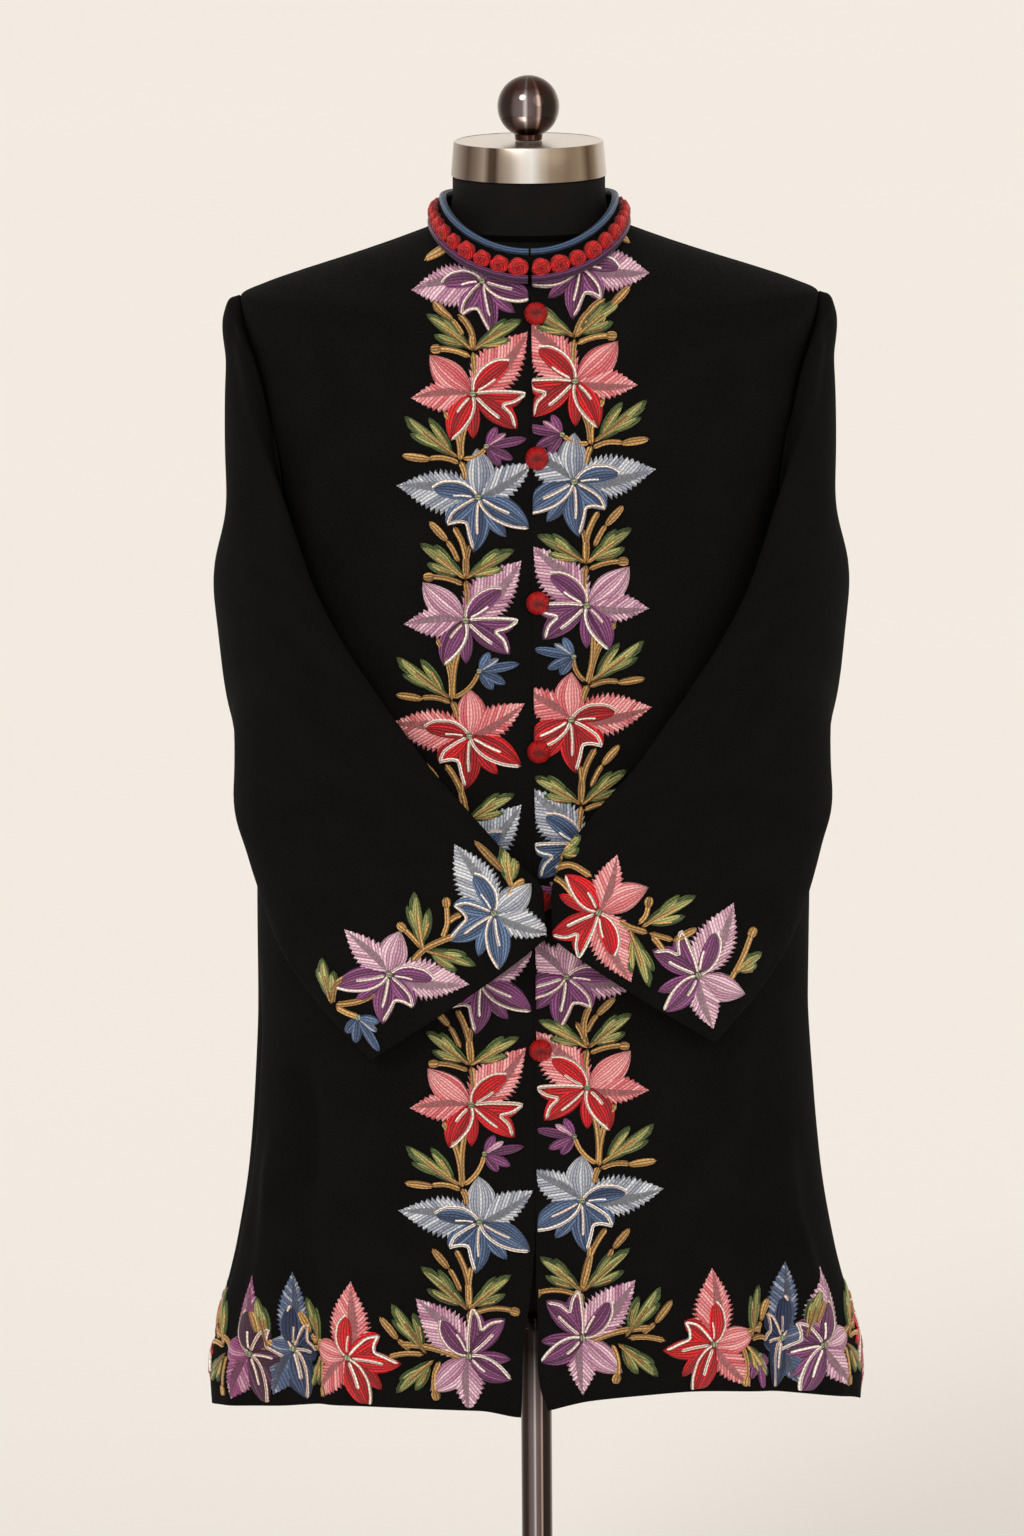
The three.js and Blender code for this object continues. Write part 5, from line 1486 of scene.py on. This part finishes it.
def copies_piece(name, points, faces, uv, shade, count):
    """One mesh of a number of like solids: the first one's faces, and each point's uv and shade."""
    quads, fans = (part + np.arange(count)[:, None, None] * len(uv) for part in faces)
    corners = np.append(quads, fans) % len(uv)
    return close_up(make_mesh(name, np.reshape(points, (-1, 3)), quads, fans, uv=uv[corners] * MM,
                              shade=np.tile(shade, count)))


def make_balls():
    """The row of wound knots: each a flattened ball whose surface is coiled in four turns of
    thread, r = R (1 + c sin(4 longitude + 5 latitude)), set evenly round the neck."""
    path = collar_point(round_neck(1440, 1), BALL_ROW_UP, COLLAR_WALL + KNOT_RELIEF - 0.6)
    run = distance_along(path)
    at = (np.arange(BALL_COUNT) + 0.5) / BALL_COUNT * run[-1]
    before, centre, after = (
        np.stack([np.interp(at + step, run, path[:, k]) for k in range(3)], -1) for step in (-2, 0, 2))
    ahead = unit(after - before)
    out = unit(np.cross(ahead, (0, 0, 1)))
    out = np.where((out * centre)[:, :2].sum(1)[:, None] < 0, -out, out)
    up = np.cross(out, ahead)
    rows, columns = 14, 24
    lat = np.linspace(-np.pi / 2, np.pi / 2, rows + 1)[1:-1, None]
    lon = np.arange(columns) * 2 * np.pi / columns
    swirl = 1 + 0.07 * np.sin(4 * lon + 5 * lat)
    local = np.stack([np.cos(lat) * np.cos(lon) * swirl, np.cos(lat) * np.sin(lon) * swirl,
                      np.sin(lat) * swirl], -1)
    local = np.concatenate([local.reshape(-1, 3), [[0, 0, -1], [0, 0, 0.9]]])
    size = (KNOT_RADIUS * (1 + 0.07 * np.sin(np.arange(BALL_COUNT) * 2.4)))[:, None, None]
    points = (centre[:, None] + ahead[:, None] * local[:, :1] * size
              + up[:, None] * local[:, 1:2] * size + out[:, None] * local[:, 2:] * KNOT_RELIEF)
    flat = np.stack([np.arctan2(local[:, 1], local[:, 0]) * KNOT_RADIUS, local[:, 2] * 8], -1)
    # painted light and shade: each knot's thread is lighter on its face turned out and darker towards its
    # sides
    piece = copies_piece("collar_knots", points, ring_faces(rows - 1, columns), flat, local[:, 2], BALL_COUNT)
    return finish_piece(piece, "red knots", ["collar_balls"])


def make_buttons():
    """Six covered buttons: each a domed cap with a raised ring and a dimple, wound in red thread. The
    height runs as (1 - r^3.2), with a dip at the middle, a ring at 0.52 of the radius and 24 low
    waves round it."""
    rows, columns = 22, 48
    share = np.linspace(0, 1, rows)[1:, None]
    lon = np.arange(columns) * 2 * np.pi / columns
    round_way = np.stack([np.cos(lon), np.sin(lon)], -1)
    dip, ring = np.exp(-((share / 0.22) ** 2)), np.exp(-(((share - 0.52) / 0.1) ** 2))
    height = (1 - share**3.2) * (1 - 0.12 * dip) + 0.05 * ring
    height = height * (1 + 0.012 * np.sin(24 * lon))
    local = np.zeros((rows, columns, 3))
    local[:-1, :, :2] = share[..., None] * BUTTON_RADIUS * round_way
    local[:-1, :, 2] = BUTTON_HEIGHT * (0.22 + 0.78 * height)
    local[-1, :, :2] = 0.94 * BUTTON_RADIUS * round_way
    local = np.concatenate([local.reshape(-1, 3), [[0, 0, BUTTON_HEIGHT * 0.95], [0, 0, 0]]])
    points = []
    for z in BUTTON_HEIGHTS:
        foot, normal = body_frame(turn_at_x(BUTTON_FROM_EDGE, z, True), np.array(float(z)), False)
        side = unit(np.cross((0, 0, 1), normal))
        up = np.cross(normal, side)
        points.append(foot + normal * ON_CLOTH + local @ np.stack([side, up, normal]))
    radius = np.hypot(local[:, 0], local[:, 1])
    flat = np.stack([radius, np.arctan2(local[:, 1], local[:, 0]) * BUTTON_RADIUS * 0.8], -1)
    # painted highlight and shade: a bright ring round each button's dome, darker in the dimple and at the
    # edge
    painted_ring_highlight = 1.5 * np.exp(-(((radius / BUTTON_RADIUS - 0.66) / 0.2) ** 2)) - 0.7
    piece = copies_piece("buttons", points, ring_faces(rows, columns), flat, painted_ring_highlight, len(BUTTON_HEIGHTS))
    nodes = [f"button_{i + 1}" for i in range(len(BUTTON_HEIGHTS))]
    return finish_piece(piece, "red buttons", nodes)


def lay_work(name, works, lay):
    """One piece for each family of a piece of needlework."""
    return [finish_piece(work.make(f"{name}_{family}_stitching", lay), None)
            for family, work in works.items() if work.total]


def new_works():
    """Empty needlework for each family of flowers and for the leaves."""
    swell = bpy.context.scene.jacket_sizes.thread_relief / (USUAL_RELIEF * MM)
    return {family: Needlework(swell) for family in (*FAMILIES, "leaves")}


def make_front_stitching(side_name):
    """The run of flowers down a front, with the stems, leaves and buds between them, and the hem's."""
    works, mirror = new_works(), -SIDES[side_name]
    run = FRONT_RUN[side_name]
    for k, (kind, family, x, z, turn) in enumerate(run[:-1]):
        motif = Motif(works, x, z, 0, 1.0, mirror)
        drop = ((run[k + 1][2] - x) * mirror, run[k + 1][3] - z)
        if kind == "a":
            link_with_bud(motif, drop, BUD_FAMILIES[k // 2])
        else:
            link_with_leaves(motif, drop, k + 2 == len(run))
        if k == 0:
            shoot(motif, [(-19, 24), (-41, 12)])
        flower(Motif(works, x, z, turn, NECK_FLOWER if k == 0 else 1.0, mirror), family, kind)
    hem_stitching(works, side_name)
    if side_name == "left":
        bud(Motif(works, 159, 360, 0, 0.95, 1, 0.8), "purple", -85)
    return works


def hem_stitching(works, part):
    """The hem's flowers, with a node, leaves, stems and a side shoot between each two of them."""
    run = HEM_RUN[part]
    for k, (kind, family, x, z, turn, mirror, squeeze) in enumerate(run):
        side = -1 if x > 0 else 1
        nx, nz = (run[k + 1][2], run[k + 1][3]) if k + 1 < len(run) else (x - side * 66, z)
        spread = abs(nx - x)
        share = 25 / max(spread, 50)
        node = x - side * spread * share, z + (nz - z) * share - 1
        motif = Motif(works, *node, 0, 1.0, side, min(1.0, spread / 84))
        stem(motif, arc((20, 0), (-24, 9), -3))
        shoot(motif, [(-16, 5), (-25, 13), (-36, 28)])
        stem(motif, arc((-6, 2), (-32, -1), -2), SHOOT_HALF)
        leaf(motif, (-5, 4), 121, 42, 1)
        if spread > CROWDED:
            leaf(motif, (0, -2), -134, 36, -1)
            twig(motif, arc((5, -2), (2, -28), -3))
        # painted shade: a flower squeezed into a fold is darkened as in the fold's shade
        painted_shade = FOLDED_PAINTED_SHADE if squeeze < FOLDED_SQUEEZE else 0.0
        flower(Motif(works, x, z, turn, LOW_FLOWER, mirror, squeeze, painted_shade), family, kind)


def make_cuff_stitching(side_name):
    """The sprays on a cuff."""
    works = new_works()
    # painted light: the cuffs' thread is lightened, as if lit more brightly
    plain = Motif(works, 0, 0, painted_shade=CUFF_PAINTED_LIGHT)
    for kind, *places in CUFF_GREEN[side_name]:
        if kind == "leaf":
            leaf(plain, *places)
        else:
            {"stem": stem, "twig": twig, "shoot": shoot}[kind](plain, places)
    for kind, family, x, z, turn, mirror in CUFF_RUN[side_name]:
        flower(Motif(works, x, z, turn, LOW_FLOWER, mirror, painted_shade=CUFF_PAINTED_LIGHT), family, kind)
    if side_name == "right":
        bud(Motif(works, -121, 613, -62, painted_shade=CUFF_PAINTED_LIGHT), "blue")
    return works


def make_form():
    """The torso of the form: the jacket's own sections drawn in by its ease, then a round neck."""
    sides, neck_radius = 160, FORM_NECK_RADIUS
    rim = [FORM_BOTTOM, 520.8, 523, 528]
    turn = np.arange(sides) * 360 / sides
    rings = []
    for z in (*rim, *np.arange(540, 1085, 12.0), *np.arange(1085, 1140, 3.0)):
        on_shoulder = z > FORM_SHOULDER_FOOT
        rounding = max(0, 1 - (z - FORM_BOTTOM) / 8) ** 2
        ease = FORM_EASE * (2 if on_shoulder else 1 + rounding)
        at = z + 0.8
        half = body_size("half_width", at) - (0.3 if on_shoulder else ease)
        depth = section_depth(at, (turn <= 90) | (turn >= 270)) - ease
        power = 1.6 if on_shoulder else body_size("power", at) - 0.2
        rings.append(superellipse(turn, half, depth, power, 0.0, z))
    for z, flare in ((1144, 4.5), (1148, 3), (1156, 1.5), (1166, 0), (1172, 0), (FORM_NECK_TOP - 0.8, 0),
                     (FORM_NECK_TOP, -0.8)):
        rings.append(superellipse(turn, neck_radius + flare, neck_radius + flare, 2.0, 0.0, z))
    quads, fans = ring_faces(len(rings), sides)
    points = np.vstack([*rings, (0, 0, FORM_BOTTOM), (0, 0, FORM_NECK_TOP)])
    piece = close_up(make_mesh("form_torso", points, quads, fans))
    piece.data.set_sharp_from_angle(angle=math.radians(50))
    finish_piece(piece, "black jersey", ["dress_form"])


def make_stand():
    """Cap, ball, rod, tubes and base plate, each turned about the pole's axis."""
    low, high = CAP_FOOT, CAP_TOP
    sphere = [(FINIAL_RADIUS * math.cos(a), BALL_MIDDLE + FINIAL_RADIUS * math.sin(a))
              for a in np.radians(np.arange(-63, 90, 4.5))]
    pieces = (
        ("form_cap", "brushed steel with painted reflections", "brushed_cap", "neck_cap", "form",
         [(0, low), (52.6, low), (53.3, low + 0.3), (53.5, low + 1), (51.6, high - 1.2), (51.1, high - 0.3),
          (50.3, high), (49.4, high), (49.1, high - 0.25), (30, high - 0.25), (0, high - 0.25)]),
        ("form_ball", "mirror ball with painted reflections", "polished_metal", "finial", "form",
         [(0, BALL_FOOT), (9, BALL_FOOT), (9.4, BALL_FOOT + 0.4), (9.4, BALL_FOOT + 1.2), *sphere,
          (0, BALL_MIDDLE + FINIAL_RADIUS)]),
        ("pole_rod", "near black rod with painted shade", "base_paint", "inner_rod", "rod",
         [(0, 112), (8.4, 112), (8.9, 112.5), (8.9, 513.7), (9.6, 513.7), (31, 513.7), (32, 514.7),
          (32, 518.7), (31, 519.7), (0, 519.7)]),
        ("pole_clamp", "mirror with painted reflections and shade", "polished_metal", "tube_collar", "stand",
         [(9.6, 358.3), (13.4, 358.3), (14, 358.9), (14, 363.6), (13.2, 364.1), (13.2, 364.6),
          (14, 365.1), (14, 366.7), (13.4, 367.3), (9.6, 367.3)]),
        ("pole_tube", "mirror with painted reflections and shade", "polished_metal", "outer_tube", "stand",
         [(9.6, 12.3), (10.6, 12.3), (11, 12.7), (11, 357.5), (10.5, 358), (9.6, 358)]),
        ("pole_base", "powder coat", "base_paint", "base_plate", "stand",
         [(0, 0), (164, 0), (165, 1), (165, 5), (164.2, 6), (161, 8), (120, 9), (40, 11), (24, 12), (0, 12)]),
    )
    for name, material, slot, node, body, profile in pieces:
        finish_piece(turned_piece(name, profile), material, [node], body)


# ---------------------------------------------------------------- stage

CAMERA = Vector((-0.01435, -4.7, 1.72746))
CAMERA_DOWN = math.radians(11.6)
CAMERA_ROLL = math.radians(0.39)
LENS = 160.647
FLOOR_HALF = 60000.0
# Soft lights far off: name, the way they shine, strength, and how wide they look, in degrees.
SUNS = (("key", (0.55, 1.0, -0.9), 0.75, 20), ("fill", (-0.8, 0.9, -0.55), 0.25, 40))


def make_stage():
    """A wide pale floor, a pale world, soft lights and the camera."""
    scene = bpy.context.scene
    scene.view_settings.view_transform = "Standard"
    corners = np.array([[-1, -1, 0], [1, -1, 0], [1, 1, 0], [-1, 1, 0]]) * FLOOR_HALF
    floor = make_mesh("floor", corners, [[0, 1, 2, 3]])
    n, shader = new_material("pale floor", Roughness=0.9, Specular_IOR_Level=0.1)
    cloud = n.noise(n.add("ShaderNodeTexCoord").outputs["Object"], 0.6, 2.0)
    n.put(shader["Base Color"], n.mix(cloud, rgb("ecebea"), rgb("eeedec")))
    floor.data.materials.append(bpy.data.materials["pale floor"])
    scene.world = bpy.data.worlds.new("pale world")
    scene.world.use_nodes = True
    background = scene.world.node_tree.nodes["Background"].inputs
    background[0].default_value, background[1].default_value = (0.88, 0.82, 0.745, 1), 1.0
    for name, toward, power, softness in SUNS:
        data = bpy.data.lights.new(name, "SUN")
        data.energy, data.angle, data.color = power, math.radians(softness), (1.0, 0.95, 0.89)
        light = bpy.data.objects.new(name, data)
        light.rotation_mode = "QUATERNION"
        light.rotation_quaternion = Vector(toward).to_track_quat("-Z", "Y")
        scene.collection.objects.link(light)
    camera = bpy.data.objects.new("camera", bpy.data.cameras.new("camera"))
    camera.data.sensor_fit = "VERTICAL"
    camera.data.sensor_height = camera.data.sensor_width = 36
    camera.data.lens = LENS
    camera.data.clip_start, camera.data.clip_end = 0.1, 400
    camera.matrix_world = (Matrix.Translation(CAMERA) @ Matrix.Rotation(math.pi / 2 - CAMERA_DOWN, 4, "X")
                           @ Matrix.Rotation(-CAMERA_ROLL, 4, "Z"))
    scene.collection.objects.link(camera)
    scene.camera = camera


def make_materials():
    """Node groups once, then every finish."""
    chain_group()
    wool_group()
    sizes, colours = bpy.context.scene.jacket_sizes, bpy.context.scene.jacket_colours
    wool_material("black wool", rgb("050505"), (*colours.wool, 1.0), sizes.weave)
    for name, (dark, _) in THREADS.items():
        thread_material("thread " + name, rgb(dark), (*getattr(colours, name), 1.0), sizes.row, sizes.link,
                        painted_groove_shade=0.8 if name in SOFT_THREADS else 1.15)
    thread_material("blue satin", rgb("0b1830"), rgb("4f729e"), row=0.002, link=0.0011)
    thread_material("purple satin", rgb("250a24"), rgb("7c3f7c"), row=0.002, link=0.0011)
    thread_material("red knots", rgb("840206"), rgb("f61014"), row=0.0015, link=0.003)
    thread_material("red buttons", rgb("860308"), rgb("ff1219"), row=0.0009, link=0.01, roughness=0.3)
    jersey_material("black jersey")
    # painted reflections: the cap's bands of colour stand in for the room mirrored in its brushed steel
    metal_material("brushed steel with painted reflections", (
        (-90, "c9bfb6"), (-66, "94877d"), (-52, "54443a"), (-43, "84766a"), (-36, "aa9c8e"), (-31, "4c3c32"),
        (-26, "43342b"), (-22, "958678"), (-14, "b9aea2"), (-6, "f4f0ec"), (2, "ffffff"), (9, "cbc1b6"),
        (16, "9c8d7b"), (30, "857360"), (42, "9c8b76"), (50, "54422f"), (57, "84715c"), (66, "c9beb2"),
        (90, "f2ece6")), 0.3, (3.0, 3.0, 500.0))
    # painted reflections of the pole and the ball: dark brown bands with pale streaks where lights would
    # shine
    painted_reflection_bands = (
        (-90, "7a6c66"), (-60, "1c110e"), (-36, "2a1a16"), (-28, "64585a"), (-12, "7c7174"), (-6, "e4dede"),
        (-1, "74686b"), (14, "5f5050"), (20, "cfb2ad"), (25, "20120e"), (58, "1a0e0a"), (74, "8c7c72"),
        (90, "d8ccc4"))
    # painted shade: the tube and its collar fall to near black inside the skirt
    metal_material("mirror with painted reflections and shade", painted_reflection_bands, 0.14, (300.0, 300.0, 3.0), painted_shade_heights=(285, 342))
    metal_material("mirror ball with painted reflections", painted_reflection_bands, 0.1, (300.0, 300.0, 3.0), ball=(BALL_MIDDLE, FINIAL_RADIUS))
    paint_material("powder coat", "241f1c", "37302c", 0.5)
    # painted shade: the rod is near black, for the shade inside the jacket where it shows between the fronts
    paint_material("near black rod with painted shade", "060505", "0d0b0a", 0.08)


def size_property(name, description, default, least, most):
    """A length in metres that a user can change."""
    return bpy.props.FloatProperty(name=name, description=description, default=default, min=least, max=most,
                                   subtype="DISTANCE", unit="LENGTH")


def colour_property(name, description, hex_colour):
    """A colour that a user can pick."""
    return bpy.props.FloatVectorProperty(name=name, description=description, default=rgb(hex_colour)[:3],
                                         size=3, min=0, max=1, subtype="COLOR")


class JACKET_PG_sizes(bpy.types.PropertyGroup):
    """Sizes that a user would change."""

    thread_relief: size_property(
        "Thread relief", "Height of the stitching off the cloth", USUAL_RELIEF * MM, 0.0003, 0.004)
    row: size_property("Row", "Width of a row of chain stitch", 0.0021, 0.0005, 0.01)
    link: size_property("Link", "Length of a chain stitch", 0.0031, 0.0005, 0.02)
    weave: size_property("Weave", "Spacing of the wool cloth's threads", 0.0011, 0.0003, 0.005)


class JACKET_PG_colours(bpy.types.PropertyGroup):
    """Colours that a user would change: the light tone of the cloth and of each thread."""

    wool: colour_property("Wool", "The cloth", "1b1a19")
    pink: colour_property("Pink", "Light petals of the red flowers", THREADS["pink"][1])
    red: colour_property("Red", "Dark petals of the red flowers", THREADS["red"][1])
    sky: colour_property("Sky", "Light petals of the blue flowers", THREADS["sky"][1])
    blue: colour_property("Blue", "Dark petals of the blue flowers", THREADS["blue"][1])
    lilac: colour_property("Lilac", "Light petals of the purple flowers", THREADS["lilac"][1])
    plum: colour_property("Plum", "Dark petals of the purple flowers", THREADS["plum"][1])
    cream: colour_property("Cream", "Edges and ribs of the petals", THREADS["cream"][1])
    leaf: colour_property("Leaf", "Middles of the leaves", THREADS["leaf"][1])
    moss: colour_property("Moss", "Edges of the leaves", THREADS["moss"][1])
    gold: colour_property("Gold", "Stems and veins", THREADS["gold"][1])
    knot: colour_property("Knot", "Knots in the middle of the flowers", THREADS["knot"][1])


class JACKET_OT_materials(bpy.types.Operator):
    """Make the wool, thread, jersey and metal finishes"""

    bl_idname = "jacket.materials"
    bl_label = "Finishes"

    def execute(self, context):
        make_materials()
        return {"FINISHED"}


class JACKET_OT_body(bpy.types.Operator):
    """Make the fronts and the back with their needlework"""

    bl_idname = "jacket.body"
    bl_label = "Fronts and back"

    def execute(self, context):
        chart = BodyChart()
        for side_name in SIDES:
            cloth, area = make_front(side_name)
            stitched = lay_work(f"front_{side_name}", make_front_stitching(side_name),
                                lambda points, name=side_name: chart.lay(points, name))
        cloth, area = make_back()
        works = new_works()
        hem_stitching(works, "back")
        lay_work("back", works, chart.lay)
        return {"FINISHED"}


class JACKET_OT_sleeves(bpy.types.Operator):
    """Make the sleeves with the sprays on their cuffs"""

    bl_idname = "jacket.sleeves"
    bl_label = "Sleeves"

    def execute(self, context):
        for side_name in SIDES:
            cloth, area = make_sleeve(side_name)
            stitched = lay_work(f"sleeve_{side_name}", make_cuff_stitching(side_name),
                                lambda chart, name=side_name: lay_on_sleeve(name, chart))
        return {"FINISHED"}


class JACKET_OT_trims(bpy.types.Operator):
    """Make the collar, its cords and knots, and the buttons"""

    bl_idname = "jacket.trims"
    bl_label = "Collar and trims"

    def execute(self, context):
        cloth = make_collar()
        make_top_cord()
        make_base_cord()
        make_balls()
        make_buttons()
        return {"FINISHED"}


class JACKET_OT_form(bpy.types.Operator):
    """Make the dress form's torso, cap and ball, and the pole and base that hold it"""

    bl_idname = "jacket.form"
    bl_label = "Form and stand"

    def execute(self, context):
        make_form()
        make_stand()
        return {"FINISHED"}


class JACKET_OT_stage(bpy.types.Operator):
    """Make the floor, the lights and the camera"""

    bl_idname = "jacket.stage"
    bl_label = "Stage"

    def execute(self, context):
        make_stage()
        return {"FINISHED"}


class JACKET_PT_panel(bpy.types.Panel):
    """Lists the jacket's operators and sizes"""

    bl_label = "Embroidered jacket"
    bl_idname = "JACKET_PT_panel"
    bl_space_type = "VIEW_3D"
    bl_region_type = "UI"
    bl_category = "Jacket"

    def draw(self, context):
        for group in (context.scene.jacket_sizes, context.scene.jacket_colours):
            for name in type(group).__annotations__:
                self.layout.prop(group, name)
        for operator in OPERATORS:
            self.layout.operator(operator.bl_idname)


OPERATORS = (JACKET_OT_materials, JACKET_OT_form, JACKET_OT_body, JACKET_OT_sleeves, JACKET_OT_trims,
             JACKET_OT_stage)
CLASSES = (JACKET_PG_sizes, JACKET_PG_colours, *OPERATORS, JACKET_PT_panel)


def register():
    for cls in CLASSES:
        bpy.utils.register_class(cls)
    bpy.types.Scene.jacket_sizes = bpy.props.PointerProperty(type=JACKET_PG_sizes)
    bpy.types.Scene.jacket_colours = bpy.props.PointerProperty(type=JACKET_PG_colours)


def unregister():
    del bpy.types.Scene.jacket_colours
    del bpy.types.Scene.jacket_sizes
    for cls in reversed(CLASSES):
        bpy.utils.unregister_class(cls)


def main():
    register()
    for operator in OPERATORS:
        group, name = operator.bl_idname.split(".")
        getattr(getattr(bpy.ops, group), name)()


if __name__ == "__main__":
    main()
